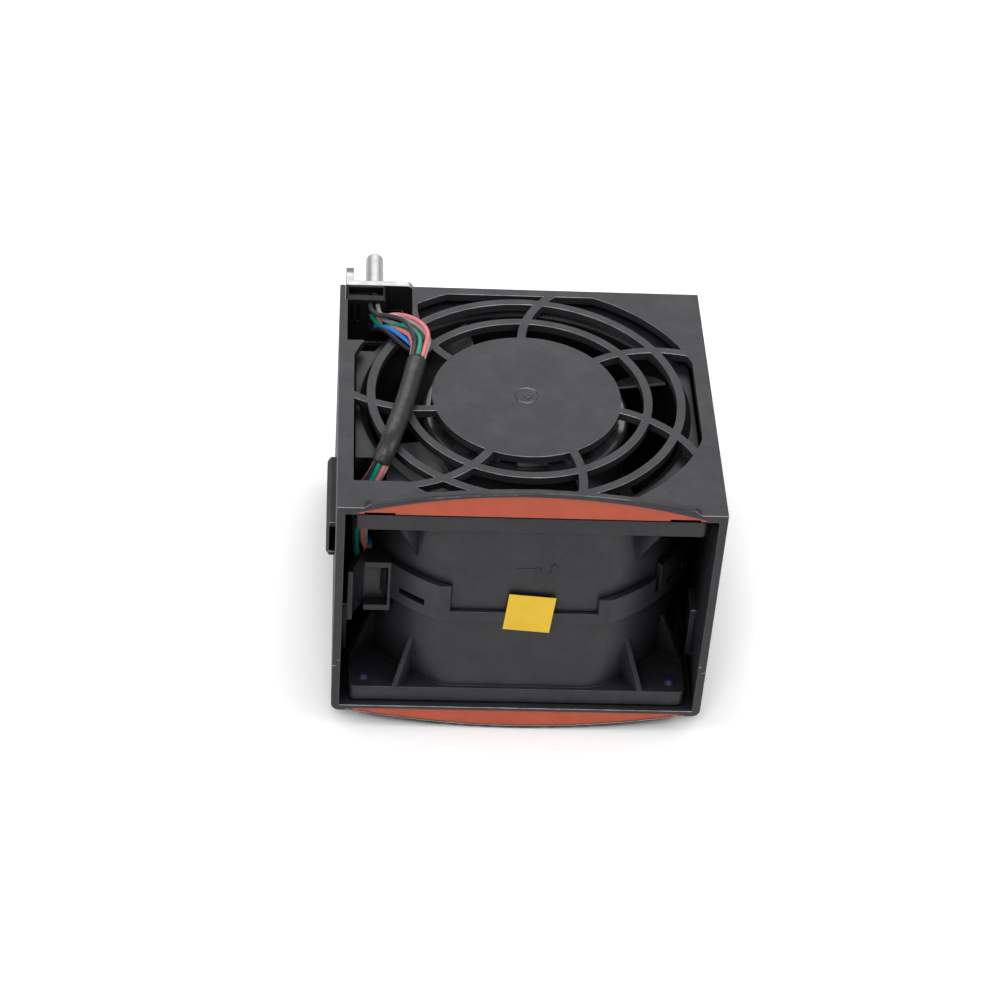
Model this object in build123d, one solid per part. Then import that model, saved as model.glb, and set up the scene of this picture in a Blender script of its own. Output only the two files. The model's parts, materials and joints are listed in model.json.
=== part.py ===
from build123d import *
import math
import os

# Server fan module: a counter-rotating fan held in a two-shell hot-swap cage.
# X runs across the cage, Y from the open front to the plug end, Z along the fan axis.
# The origin is on the fan axis, in the outer face of the outlet grille.

# Fan stack
fan_size = 60.0
fan_bottom = 1.7
fan_height = 43.5
bore_radius = 28.0

# Cage
side_wall = 1.4
back_wall = 0.9
side_room = 1.6
front_room = 1.1
back_room = 0.2
inlet_room = 1.0
inlet_plate = 1.5
outlet_plate = 1.2
cage_foot_radius = 1.5
cage_edge_radius = 0.3
split_height = 11.0
lap_height = 1.2
lap_clearance = 0.1
seam_gap = 0.15
cage_width = fan_size + 2 * (side_wall + side_room)
cage_depth = fan_size + front_room + back_room + back_wall
cage_height = fan_bottom + fan_height + inlet_room + inlet_plate

# Grille, the same in both shells
opening_overlap = 4.1
inlet_side_room = 0.3
outlet_side_cover = 0.3
opening_back_cover = 0.8
opening_front_cover = 3.4
grille_disc_radius = 16.7
ring_inset = 0.65
ring_step = 5.85
grille_rib = 1.5
spoke_count = 7
spoke_angle = 39.6
spoke_arc_radius = 20.7
spoke_start_tilt = 6.1
spoke_reach = 17.5
spoke_root = 0.8
wire_window_width = 9.8
wire_window_front = 24.0
wire_window_length = 18.0
gate_mark_radius = 2.2
gate_mark_depth = 0.15

# Plug corner of the inlet plate
notch_wall = 1.0
notch_width = 12.2
notch_front = 14.7

# Flared lips with their touch pads
lip_depth = 1.5
lip_half_width = 27.3
lip_ramp = 1.2
lip_rise_end = 0.85
lip_rise_mid = 3.9
lip_round = 0.3
pad_half_width = 29.5
pad_tip_drop = 1.1
low_pad_half_width = 30.4
low_pad_tip_drop = 0.3
low_pad_edge = 0.5
pad_rise_mid = 3.2
pad_recess = 1.0
pad_thickness = 0.85
pad_clearance = 0.05
pad_notch_width = 5.2
pad_notch_height = 0.4
pad_notch_place = 25.8

# Guide rail on the left wall
rail_front = 17.8
rail_length = 17.7
rail_low = 25.0
rail_height = 7.6
rail_proud = 1.6
rail_chamfer = 0.6
rail_pocket_depth = 6.0
rail_skin = 0.5
rail_ledge = 0.9

# Snap tongues that hold the shells together
snap_width = 6.0
snap_height = 5.5
snap_thickness = 0.9
snap_barb = 0.7
snap_barb_height = 1.6
snap_place = 18.0
snap_clearance = 0.2
snap_gap = 0.1

# Housings
flange_thickness = 3.2
flange_corner = 1.2
bore_lip = 1.3
barrel_wall = 4.2
barrel_flat_inset = 0.7
barrel_crease = 8.0
joint_gap = 0.05
gusset_thickness = 0.9
gusset_reach = 5.0
gusset_drop = 14.0
gusset_spread = 8.7

# Collar and twist-lock straps of the outlet housing
collar_wall = 1.3
collar_flat_wall = 0.7
collar_height = 2.3
collar_fit = 0.15
high_strap = 5.75
low_strap = 3.3
strap_end = 21.6
strap_start = 1.0
strap_slot_height = 2.3
strap_slot_low = 1.3
strap_slot_start = 4.4
strap_slot_end = 13.7

# Wire guard at the front left corner
guard_left = 27.8
guard_right = 23.2
guard_front = 24.1
guard_depth = 3.8
guard_above = 5.65
guard_below = 5.55
guard_rim = 0.5
guard_ledge = 1.2
guard_pocket = 2.6
guard_wing_width = 2.9
guard_wing_reach = 2.6
guard_wing_thickness = 0.9
corner_angle = 45.0

# Motor seats inside the housings
base_radius = 18.2
base_clear = 0.3
base_plate = 1.0
base_rim = 1.0
base_rim_height = 3.9
base_boss_radius = 7.2
base_boss_height = 0.2
strut_count = 7
strut_thickness = 1.3
strut_height = 3.3
strut_lean = 26.0
strut_overrun = 0.6

# Wire gate through the barrel and along one strut
gate_angle = 211.5
gate_width = 3.3
gate_wall = 0.7
gate_floor = 0.8
gate_height = 3.5
gate_rise = 5.6
gate_overrun = 3.0
flange_notch_front = 22.5
flange_notch_back = 15.0
flange_notch_right = 24.6
flange_notch_drop = 7.2
corner_bore_ring = 30.4

# Rotors
hub_radius = 18.3
hub_wall = 1.4
hub_top = 1.5
hub_end_gap = 0.8
hub_skirt = 4.6
hub_round = 0.8
hub_boss_radius = 3.4
hub_boss_height = 3.0
hub_slot_count = 11
hub_slot_inner = 13.8
hub_slot_outer = 16.7
hub_slot_angle = 21.5
tip_clearance = 0.45
inlet_blades = 4
outlet_blades = 5
blade_top_gap = 0.9
blade_low = 5.2
blade_root_thickness = 1.3
blade_tip_thickness = 0.9
blade_edge = 0.25
blade_lead_root = 29.5
blade_lead_tip = 18.5
blade_wrap = 36.0
blade_camber_share = 0.11
blade_root_station = 14.0
blade_tip_station = 30.5

# Motor
yoke_wall = 0.9
yoke_fit = 0.1
yoke_low = 4.9
yoke_hole = 3.6
magnet_wall = 1.8
magnet_low = 5.6
magnet_height = 9.5
magnet_fit = 0.05
shaft_radius = 1.5
shaft_low = 0.7
shaft_fit = 0.03
tube_wall = 1.0
bearing_radius = 4.0
bearing_width = 3.0
bearing_fit = 0.03
bearing_low = 1.9
bearing_high = 12.6
tube_low = 0.4
tube_high = 16.4
board_radius = 12.6
board_flat = 12.2
board_thickness = 1.6
stack_low = 6.4
stack_height = 7.2
air_gap = 0.4
tooth_count = 9
tooth_width = 2.0
tooth_tip_height = 1.0
tooth_tip_angle = 32.0
stack_hub_wall = 2.0
coil_wall = 0.75
coil_end = 1.0
coil_fit = 0.08
coil_round = 0.6
clip_radius = 2.3
clip_thickness = 0.4
clip_gap = 0.3
washer_outer = 3.0
washer_thickness = 0.5
washer_gap = 0.1

# Rubber isolators in the flange corners
isolator_place = 27.4
isolator_neck = 0.9
isolator_fit = 0.05
isolator_head = 1.05
isolator_tip = 0.5
isolator_head_height = 0.7
isolator_foot_width = 2.6
isolator_foot_front = 29.3
isolator_foot_back = 25.3
isolator_seat_gap = 0.05

# Plug
bracket_width = 12.4
bracket_height = 13.2
bracket_thickness = 1.4
bracket_radius = 1.2
bracket_seat = 0.05
plug_gap = 0.1
ear_width = 1.4
ear_length = 3.8
ear_height = 5.0
pin_across = 26.6
pin_drop = 2.9
pin_radius = 1.65
pin_length = 11.1
pin_nose = 1.3
pin_tail = 0.8
plug_width = 7.3
plug_height = 9.6
plug_front = 26.7
plug_round = 0.5
plug_pocket_front = 1.4
plug_pocket_side = 0.5
plug_pocket_depth = 1.6
key_slot_count = 2
key_slot_width = 0.45
key_slot_height = 3.6
key_slot_depth = 0.9
key_slot_left = 31.0
key_slot_pitch = 1.2
key_slot_top = 1.2
nose_width = 8.6
nose_height = 6.4
nose_length = 5.4
nose_drop = 5.5
nose_wall = 0.8
contact_side = 0.5
contact_columns = 4
contact_rows = 2
contact_pitch_across = 1.7
contact_pitch_up = 2.2
contact_reach = 4.2
contact_fit = 0.06
socket_columns = 2
socket_rows = 4
socket_left = 27.45
socket_pitch_across = 1.3
socket_top_drop = 1.35
socket_pitch_up = 1.2
socket_depth = 1.2
socket_fit = 0.12
plug_shelf = 1.0
plug_shelf_fit = 0.05

# Harness
wire_diameter = 0.86
lane_radius = 1.03
sleeve_inner = 1.52
sleeve_wall = 0.15
sleeve_start = 3.2
sleeve_end = 2.7
arc_share = 0.45
elbow_inset = 1.2
column_clearance = 1.6
lane_turn_angle = -5.323
elbow_rise = 2.8
column_top = 39.3
intake_wire_level = 1.75
exhaust_wire_level = -1.66

# The bundle's way from the column over the grille to the sleeve's mouth
trunk_points = [(-26.3, -19.1, 45.0), (-24.6, -17.3, 49.5), (-22.8, -10.4, 49.55),
                (-20.9, -2.0, 49.6), (-18.8, 9.8, 49.5)]

# Each wire's own way from the sleeve's mouth to its socket
wire_tails = {
    "wire_red_a": [(-16.64, 13.31, 49.42), (-18.2, 17.12, 49.52), (-22.35, 20.46, 48.6),
                   (-25.83, 23.2, 46.52)],
    "wire_white": [(-17.3, 13.12, 50.74), (-19.04, 16.76, 50.56), (-22.95, 20.45, 49.47),
                   (-27.17, 23.2, 46.79)],
    "wire_green": [(-18.75, 13.18, 50.23), (-21.15, 16.33, 49.97), (-24.49, 19.25, 48.22),
                   (-27.47, 23.2, 44.07)],
    "wire_dark_grey": [(-20.03, 13.02, 50.9), (-21.13, 16.55, 50.9), (-23.69, 19.81, 48.87),
                       (-27.24, 23.2, 45.42)],
    "wire_red_b": [(-20.14, 12.99, 49.97), (-21.64, 16.02, 49.05), (-23.83, 19.26, 47.16),
                   (-25.71, 23.2, 44.0)],
    "wire_black": [(-21.57, 12.4, 48.25), (-23.59, 15.22, 48.38), (-25.75, 18.38, 47.85),
                   (-27.47, 23.2, 42.72)],
    "wire_blue": [(-19.9, 12.69, 48.25), (-22.35, 15.3, 48.56), (-24.75, 18.58, 47.55),
                  (-26.39, 23.2, 42.6)],
    "wire_grey": [(-18.36, 13.08, 49.01), (-20.17, 16.51, 48.87), (-23.32, 20.01, 47.72),
                  (-25.85, 23.2, 45.38)],
}

# The wires in the order of their lanes, the core first, and in the order of their sockets by rows
wire_lanes = ("wire_grey", "wire_blue", "wire_red_a", "wire_white", "wire_green", "wire_dark_grey",
              "wire_red_b", "wire_black")
wire_sockets = ("wire_white", "wire_red_a", "wire_dark_grey", "wire_grey", "wire_green", "wire_red_b",
                "wire_black", "wire_blue")
intake_wires = ("wire_grey", "wire_blue", "wire_red_a", "wire_black")

# Label
label_side = 8.2
label_thickness = 0.12
label_across = 0.9
label_up = 23.4
label_turn = 5.0
label_gap = 0.02

# One overrun serves every cut
overrun = 1.0

half_width = cage_width / 2
half_depth = cage_depth / 2
opening_radius = bore_radius + opening_overlap
opening_back = fan_size / 2 - opening_back_cover
opening_front = fan_size / 2 - opening_front_cover
outer_ring_radius = bore_radius - ring_inset
inner_ring_radius = outer_ring_radius - ring_step
notch_left = half_width - notch_wall
notch_right = notch_left - notch_width
barrel_radius = bore_radius + barrel_wall
barrel_flat = fan_size / 2 - barrel_flat_inset
collar_radius = barrel_radius + collar_wall
collar_flat = barrel_flat + collar_flat_wall
column_radius = barrel_radius + column_clearance
elbow_radius = barrel_radius - elbow_inset
inner_half_width = half_width - side_wall
inner_back = half_depth - back_wall
fan_half = fan_size / 2
fan_middle = fan_bottom + fan_height / 2
stack_half = fan_height / 2
flange_low = stack_half - flange_thickness
hub_end = stack_half - hub_end_gap
hub_inner = hub_radius - hub_wall
yoke_outer = hub_inner - yoke_fit
yoke_inner = yoke_outer - yoke_wall
magnet_outer = yoke_inner - magnet_fit
magnet_inner = magnet_outer - magnet_wall
tube_inner = bearing_radius + bearing_fit
tube_outer = tube_inner + tube_wall
stack_inner = tube_outer + magnet_fit
stack_outer = magnet_inner - air_gap
base_top = base_clear + base_plate
board_low = base_top + base_boss_height


def block(x_low, x_high, y_low, y_high, z_low, z_high):
    """Box between six planes."""
    centre = Pos((x_low + x_high) / 2, (y_low + y_high) / 2, (z_low + z_high) / 2)
    return centre * Box(x_high - x_low, y_high - y_low, z_high - z_low)


def disc(radius, z_low, z_high):
    """Round plate or rod on the fan axis."""
    return Pos(0, 0, (z_low + z_high) / 2) * Cylinder(radius, z_high - z_low)


def tube(outer, inner, z_low, z_high):
    """Round tube on the fan axis."""
    return disc(outer, z_low, z_high) - disc(inner, z_low - overrun, z_high + overrun)


def flatted_disc(radius, flat, z_low, z_high):
    """Round plate whose four sides are cut flat."""
    return disc(radius, z_low, z_high) & block(-flat, flat, -flat, flat, z_low, z_high)


def wedge(angle_low, angle_high, radius, z_low, z_high):
    """Slice of a round plate between two angles, from the axis outwards."""
    middle = (angle_low + angle_high) / 2
    corners = [(0, 0)]
    for angle in (angle_low, middle, angle_high):
        turn = math.radians(angle)
        corners.append((radius * math.cos(turn), radius * math.sin(turn)))
    face = make_face(Polyline(*corners, close=True))
    return Pos(0, 0, z_low) * extrude(face, z_high - z_low)


def stacked(piece, end):
    """Carries a motor or housing piece from the joint plane to its half of the fan."""
    if end == "outlet":
        piece = mirror(piece, about=Plane.XY)
    return Pos(0, 0, fan_middle) * piece


# Cage

def spoke_band():
    """Curved spoke outline: it leaves the disc and bends clockwise on its way out."""
    tilt = math.radians(-spoke_start_tilt - 90)
    centre_x = grille_disc_radius + spoke_arc_radius * math.cos(tilt)
    centre_y = spoke_arc_radius * math.sin(tilt)
    outer = Circle(spoke_arc_radius + grille_rib / 2)
    inner = Circle(spoke_arc_radius - grille_rib / 2)
    ring = Pos(centre_x, centre_y) * (outer - inner)
    middle_x = grille_disc_radius - spoke_root + spoke_reach / 2
    window = Pos(middle_x, grille_rib - spoke_reach / 2) * Rectangle(spoke_reach, spoke_reach)
    return ring & window


def grille_bars():
    """Disc, two rings and curved spokes as one outline."""
    half_rib = grille_rib / 2
    bars = Circle(grille_disc_radius)
    for radius in (inner_ring_radius, outer_ring_radius):
        bars = bars + (Circle(radius + half_rib) - Circle(radius - half_rib))
    spoke = spoke_band()
    for index in range(spoke_count):
        bars = bars + Rot(0, 0, spoke_angle + index * 360 / spoke_count) * spoke
    return bars


def grille_opening(half):
    """Outline of the air opening: a circle cut flat on all four sides."""
    span_y = opening_front + opening_back
    middle_y = (opening_back - opening_front) / 2
    return Circle(opening_radius) & Pos(0, middle_y) * Rectangle(2 * half, span_y)


def inlet_openings():
    """Air cells of the inlet plate with the wire window and the plug corner."""
    half = fan_half + inlet_side_room
    window = Pos(wire_window_width / 2 - half, wire_window_length / 2 - wire_window_front)
    opening = grille_opening(half) + window * Rectangle(wire_window_width, wire_window_length)
    cells = opening - grille_bars()
    width = notch_left - notch_right
    length = half_depth + overrun - notch_front
    corner = Pos(-(notch_left + notch_right) / 2, notch_front + length / 2) * Rectangle(width, length)
    return cells + (corner - Circle(outer_ring_radius + grille_rib / 2))


def outlet_openings():
    """Air cells of the outlet plate."""
    return grille_opening(fan_half - outlet_side_cover) - grille_bars()


def lip_outline(rise_mid, rise_end, half, base, ramp):
    """Front outline of a lip: straight base, short ramps and one arc across."""
    left = Line((-half - ramp, base), (-half, rise_end))
    arc = ThreePointArc((-half, rise_end), (0, rise_mid), (half, rise_end))
    right = Line((half, rise_end), (half + ramp, base))
    floor = Line((half + ramp, base), (-half - ramp, base))
    return make_face([left, arc, right, floor])


def pad_outline(width, drop, edge, shrink):
    """Front outline of a touch pad: an arc over a straight edge."""
    half = width - shrink
    tip = -drop - shrink
    low = -edge + shrink
    arc = ThreePointArc((-half, tip), (0, pad_rise_mid - shrink), (half, tip))
    left = Line((-half, low), (-half, tip))
    right = Line((half, tip), (half, low))
    floor = Line((half, low), (-half, low))
    return make_face([left, arc, right, floor])


def front_plate(outline, depth, setback):
    """Raises an outline in the front plane into a solid that runs backwards."""
    face = Plane.XZ * outline
    solid = extrude(face, -depth)
    return Pos(0, setback - half_depth, 0) * solid


def lip():
    """Curved lip over the front edge, measured from the plate's outer face."""
    solid = front_plate(lip_outline(lip_rise_mid, lip_rise_end, lip_half_width, 0, lip_ramp),
                        lip_depth, 0)
    crown = solid.edges().filter_by(GeomType.CIRCLE)
    return fillet(crown, lip_round)


def pad_pocket(width, drop, edge):
    """Space that the touch pad fills in the lip and the plate's front edge."""
    return front_plate(pad_outline(width, drop, edge, 0), pad_recess + overrun, -overrun)


def grip_pad(width, drop, edge):
    """Touch pad with its face a little behind the lip's."""
    return front_plate(pad_outline(width, drop, edge, pad_clearance), pad_thickness,
                       pad_recess - pad_thickness)


def notched_grip_pad():
    """Inlet touch pad with two shallow notches in its straight edge."""
    pad = grip_pad(pad_half_width, pad_tip_drop, inlet_plate)
    for side in (-1, 1):
        middle = side * pad_notch_place
        pad = pad - block(middle - pad_notch_width / 2, middle + pad_notch_width / 2,
                          -half_depth - overrun, -half_depth + pad_recess + overrun,
                          -inlet_plate - overrun, -inlet_plate + pad_notch_height)
    return pad


def at_inlet(piece):
    """Moves a piece measured from the plate's outer face to the inlet side."""
    return Pos(0, 0, cage_height) * piece


def at_outlet(piece):
    """Mirrors a piece measured from the plate's outer face to the outlet side."""
    return mirror(piece, about=Plane.XY)


def guide_rail():
    """Key on the left wall with a hollow front and chamfered ends."""
    wall = -half_width
    front = -rail_front
    back = front + rail_length
    top = rail_low + rail_height
    rail = block(wall - rail_proud, wall + side_wall / 2, front, back, rail_low, top)
    outer = rail.faces().sort_by(Axis.X)[0]
    rail = chamfer(outer.edges(), rail_chamfer)
    pocket = block(wall - rail_proud + rail_skin, wall, front - overrun, front + rail_pocket_depth,
                   rail_low + rail_ledge, top - rail_ledge)
    return rail - pocket


def snap_places():
    """Side and front-to-back place of each snap tongue."""
    return [(side, place) for side in (-1, 1) for place in (-snap_place, snap_place)]


def snap_window(side, place):
    """Blind pocket in the inner face of the inlet shell's wall for one barb."""
    inner = side * (inner_half_width - overrun)
    outer = side * (inner_half_width + snap_barb + snap_clearance - snap_gap)
    low = split_height + snap_height - snap_barb_height - snap_clearance
    return block(min(inner, outer), max(inner, outer),
                 place - snap_width / 2 - snap_clearance, place + snap_width / 2 + snap_clearance,
                 low, low + snap_barb_height + 2 * snap_clearance)


def snap_tongue(side, place):
    """Tongue of the outlet shell with its barb."""
    face = side * (inner_half_width - snap_gap)
    inner = face - side * snap_thickness
    outer = face + side * snap_barb
    root = split_height - snap_height
    top = split_height + snap_height
    front = place - snap_width / 2
    back = place + snap_width / 2
    stem = block(min(face, inner), max(face, inner), front, back, root, top)
    barb = block(min(face, outer), max(face, outer), front, back, top - snap_barb_height, top)
    slope = barb.edges().filter_by(Axis.Y).group_by(Axis.Z)[-1].sort_by(Axis.X)
    tip = slope[-1] if side > 0 else slope[0]
    barb = chamfer(tip, snap_barb - lap_clearance)
    wall = side * (inner_half_width + side_wall / 2)
    foot = block(min(inner, wall), max(inner, wall), front, back, root, root + snap_thickness)
    return stem + barb + foot


def bracket_window(z_low):
    """Opening in the back wall behind the plug, with a seat for the plug in the side wall."""
    window = block(-notch_left, -notch_right, inner_back - overrun, half_depth + overrun,
                   z_low, cage_height + overrun)
    seat = block(-notch_left, -notch_right, plug_front, half_depth + overrun,
                 cage_height - plug_height - plug_shelf_fit, cage_height + overrun)
    return window + seat


def wall_shell(z_low, z_high):
    """Side and back walls between two heights, with nothing across them."""
    outer = block(-half_width, half_width, -half_depth, half_depth, z_low, z_high)
    inner = block(-inner_half_width, inner_half_width, -half_depth - overrun, inner_back,
                  z_low - overrun, z_high + overrun)
    return outer - inner


def lap_zone(z_low, z_high, clearance):
    """Inner half of the walls, where one shell laps behind the other."""
    middle = inner_half_width + side_wall / 2 - clearance
    middle_back = inner_back + back_wall / 2 - clearance
    return block(-middle, middle, -half_depth - overrun, middle_back, z_low, z_high)


def upper_cage():
    """Inlet shell: grille plate, walls, lip, rail and plug corner."""
    shell = wall_shell(split_height, cage_height)
    plate = Rectangle(cage_width, cage_depth) - inlet_openings()
    shell = shell + Pos(0, 0, cage_height - inlet_plate) * extrude(plate, inlet_plate)
    shell = shell - lap_zone(split_height - overrun, split_height + lap_height, 0)
    shell = shell + at_inlet(lip()) + guide_rail()
    shell = shell - at_inlet(pad_pocket(pad_half_width, pad_tip_drop, inlet_plate + overrun))
    for side, place in snap_places():
        shell = shell - snap_window(side, place)
    shell = shell - bracket_window(cage_height - bracket_height - plug_gap)
    shelf_top = cage_height - plug_height - plug_shelf_fit
    shelf = block(-inner_half_width - side_wall / 2, -notch_right, plug_front, half_depth,
                  shelf_top - plug_shelf, shelf_top)
    shell = shell + shelf
    mark = tube(gate_mark_radius, gate_mark_radius - gate_mark_depth * 2,
                cage_height - gate_mark_depth, cage_height + overrun)
    return shell - mark


def lower_cage():
    """Outlet shell: grille plate, short walls, lip and snap tongues."""
    shell = wall_shell(0, split_height - seam_gap)
    plate = Rectangle(cage_width, cage_depth) - outlet_openings()
    shell = shell + extrude(plate, outlet_plate)
    tongue = wall_shell(split_height - lap_height, split_height + lap_height)
    shell = shell + (tongue & lap_zone(split_height - lap_height, split_height + lap_height, lap_clearance))
    foot = shell.edges().filter_by(Axis.Y).group_by(Axis.Z)[0]
    corners = [edge for edge in foot if abs(edge.center().X) > inner_half_width]
    shell = fillet(corners, cage_foot_radius)
    pocket = pad_pocket(low_pad_half_width, low_pad_tip_drop, low_pad_edge)
    shell = shell + at_outlet(lip()) - at_outlet(pocket)
    for side, place in snap_places():
        shell = shell + snap_tongue(side, place)
    return shell


# Fan housings, each measured from the joint plane towards its own flange

def housing_shell():
    """Flange, flat-sided barrel and gussets."""
    flange = block(-fan_half, fan_half, -fan_half, fan_half, flange_low, stack_half)
    flange = fillet(flange.edges().filter_by(Axis.Z), flange_corner)
    barrel = flatted_disc(barrel_radius, barrel_flat, joint_gap, flange_low)
    body = flange + fillet(barrel.edges().filter_by(Axis.Z), barrel_crease)
    inner = bore_radius + grille_rib
    outer = barrel_radius + gusset_reach
    face = Plane.XZ * make_face(Polyline((inner, flange_low), (outer, flange_low),
                                         (inner, flange_low - gusset_drop), close=True))
    rib = extrude(face, gusset_thickness / 2, both=True)
    for corner in range(4):
        for side in (-1, 1):
            angle = corner_angle + corner * 90 + side * gusset_spread
            body = body + Rot(0, 0, angle) * rib
    return body


def bored(body, low):
    """Cuts the air bore and its rounded mouth."""
    body = body - disc(bore_radius, low - overrun, stack_half + overrun)
    mouth = Pos(0, 0, stack_half - bore_lip / 2) * Cone(bore_radius, bore_radius + bore_lip, bore_lip)
    return body - mouth


def corner_holes(body):
    """Cuts the isolator holes in the flange corners."""
    for side_x in (-1, 1):
        for side_y in (-1, 1):
            hole = Cylinder(isolator_neck + isolator_fit, flange_thickness + 2 * overrun)
            place = Pos(side_x * isolator_place, side_y * isolator_place, flange_low + flange_thickness / 2)
            body = body - place * hole
    return body


def motor_seat():
    """Round seat for the motor, its struts and the wire channel."""
    seat = tube(base_radius, tube_outer + shaft_fit, base_clear, base_top)
    seat = seat + tube(base_radius, base_radius - base_rim, base_clear, base_rim_height)
    seat = seat + tube(base_boss_radius, tube_outer + shaft_fit, base_clear, board_low)
    length = bore_radius + strut_overrun - base_radius + 2 * base_rim
    for index in range(strut_count):
        angle = gate_angle + (index + 1) * 360 / (strut_count + 1)
        strut = Pos(base_radius - base_rim, 0, base_clear + strut_height / 2) * Rot(0, 0, strut_lean) * (
            Pos(length / 2, 0, 0) * Box(length, strut_thickness, strut_height))
        seat = seat + (Rot(0, 0, angle) * strut & disc(bore_radius + strut_overrun, 0, stack_half))
    inner = base_radius - base_rim
    outer = bore_radius + strut_overrun
    half = gate_width / 2 + gate_wall
    channel = block(inner, outer, -half, half, base_clear, gate_height)
    cut = block(inner - overrun, outer + overrun, -gate_width / 2, gate_width / 2,
                base_clear + gate_floor, gate_height + overrun)
    return seat + Rot(0, 0, gate_angle) * channel - Rot(0, 0, gate_angle) * cut


def wire_gate(low, high):
    """Opening through the barrel wall where the wires enter."""
    gate = block(bore_radius, collar_radius + gate_overrun, -gate_width / 2, gate_width / 2, low, high)
    return Rot(0, 0, gate_angle) * gate


def intake_housing():
    """Inlet-side housing with the wire notch and the cut-away plug corner."""
    body = bored(corner_holes(housing_shell()), 0) + motor_seat()
    body = body - wire_gate(-overrun, gate_rise)
    keep = disc(corner_bore_ring, 0, stack_half + overrun)
    notch = block(-fan_half - overrun, -flange_notch_right, -flange_notch_front, -flange_notch_back,
                  stack_half - flange_notch_drop, stack_half + overrun)
    corner = block(-fan_half - overrun, -notch_right, notch_front, fan_half + overrun,
                   flange_low, stack_half + overrun)
    ribs = block(-fan_half - overrun, -notch_right, notch_front, fan_half + overrun,
                 flange_low - gusset_drop, flange_low) - disc(barrel_radius, 0, stack_half)
    return stacked(body - (notch - keep) - (corner - keep) - ribs, "inlet")


def strap(angle_low, angle_high, height):
    """One strap that rises from the collar past the joint."""
    outer = flatted_disc(collar_radius, collar_flat, -height, collar_height)
    inner = flatted_disc(barrel_radius + collar_fit, barrel_flat + collar_fit, -height - overrun,
                         collar_height + overrun)
    sector = wedge(angle_low, angle_high, collar_radius + fan_half, -height - overrun,
                   collar_height + overrun)
    return (outer - inner) & sector


def wire_guard():
    """Recessed block, open to the left, whose back sweeps out into a slanted wing."""
    low = -guard_above
    high = guard_below
    front = -guard_front
    recess = front + guard_pocket
    body = block(-guard_left, -guard_right, front, front + guard_depth, low, high)
    pocket = block(-guard_left - overrun, -guard_right - guard_rim, front - overrun, recess,
                   low + guard_ledge, high - guard_ledge)
    tip_left = -guard_left - guard_wing_width
    tip_right = tip_left + guard_wing_thickness
    tip = front - guard_wing_reach
    outer = ThreePointArc((tip_left, tip), (tip_left + guard_rim, (tip + recess) / 2),
                          (-guard_left - guard_rim, recess + guard_rim))
    inner = ThreePointArc((-guard_left + guard_ledge, recess),
                          (-guard_left - guard_rim, (front + recess) / 2), (tip_right, tip))
    wing = make_face([outer, Line(outer @ 1, inner @ 0), inner, Line(inner @ 1, outer @ 0)])
    body = body - pocket + Pos(0, 0, low) * extrude(wing, high - low)
    return body - disc(barrel_radius + collar_fit, low - overrun, high + overrun)


def exhaust_housing():
    """Outlet-side housing with the collar, the straps and the wire guard."""
    body = housing_shell() + flatted_disc(collar_radius, collar_flat, joint_gap, collar_height)
    for corner in range(4):
        middle = corner_angle + corner * 90
        high = strap(middle + strap_start, middle + strap_end, high_strap)
        slot = wedge(middle + strap_slot_start, middle + strap_slot_end, collar_radius + fan_half,
                     -strap_slot_low, strap_slot_height - strap_slot_low)
        keep = disc(barrel_radius + collar_fit, -overrun - strap_slot_low, strap_slot_height)
        low = strap(middle - strap_end, middle - strap_start, low_strap)
        body = body + (high - (slot - keep)) + low
    body = body + wire_guard()
    body = bored(corner_holes(body), -high_strap) + motor_seat()
    return stacked(body - wire_gate(-guard_above - overrun, gate_height), "outlet")


# Rotors

def blade_section(station, lead, trail, thickness, steep_first):
    """Thin cambered section in a plane square to the blade's own radius."""
    top = hub_end - blade_top_gap
    middle_angle = (lead + trail) / 2
    start = station * math.radians(lead - middle_angle)
    finish = station * math.radians(trail - middle_angle)
    chord_x = finish - start
    chord_z = blade_low - top
    chord = math.hypot(chord_x, chord_z)
    normal = (-chord_z / chord, chord_x / chord)
    side = -1 if steep_first else 1
    bow = side * blade_camber_share * chord
    mid = ((start + finish) / 2, (top + blade_low) / 2)
    half = thickness / 2

    def off(point, amount):
        return (point[0] + normal[0] * amount, point[1] + normal[1] * amount)

    front = (start, top)
    back = (finish, blade_low)
    upper = ThreePointArc(off(front, blade_edge), off(mid, bow + half), off(back, blade_edge))
    lower = ThreePointArc(off(back, -blade_edge), off(mid, bow - half), off(front, -blade_edge))
    nose = Line(lower @ 1, upper @ 0)
    tail = Line(upper @ 1, lower @ 0)
    face = make_face([upper, tail, lower, nose])
    plane = Plane(origin=(station, 0, 0), x_dir=(0, 1, 0), z_dir=(1, 0, 0))
    return plane * face


def blade(steep_first):
    """One swept and twisted blade, cut round at the hub and at the tip."""
    root = blade_section(blade_root_station, blade_lead_root, blade_lead_root + blade_wrap,
                         blade_root_thickness, steep_first)
    tip = blade_section(blade_tip_station, blade_lead_tip, blade_lead_tip + blade_wrap,
                        blade_tip_thickness, steep_first)
    sweep_back = (blade_lead_root - blade_lead_tip) / 2
    middle = (blade_lead_root + blade_lead_tip + blade_wrap) / 2
    solid = loft([Rot(0, 0, sweep_back) * root, Rot(0, 0, -sweep_back) * tip])
    ring = tube(bore_radius - tip_clearance, hub_radius - hub_wall / 2, 0, stack_half)
    return Rot(0, 0, middle) * solid & ring


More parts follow.
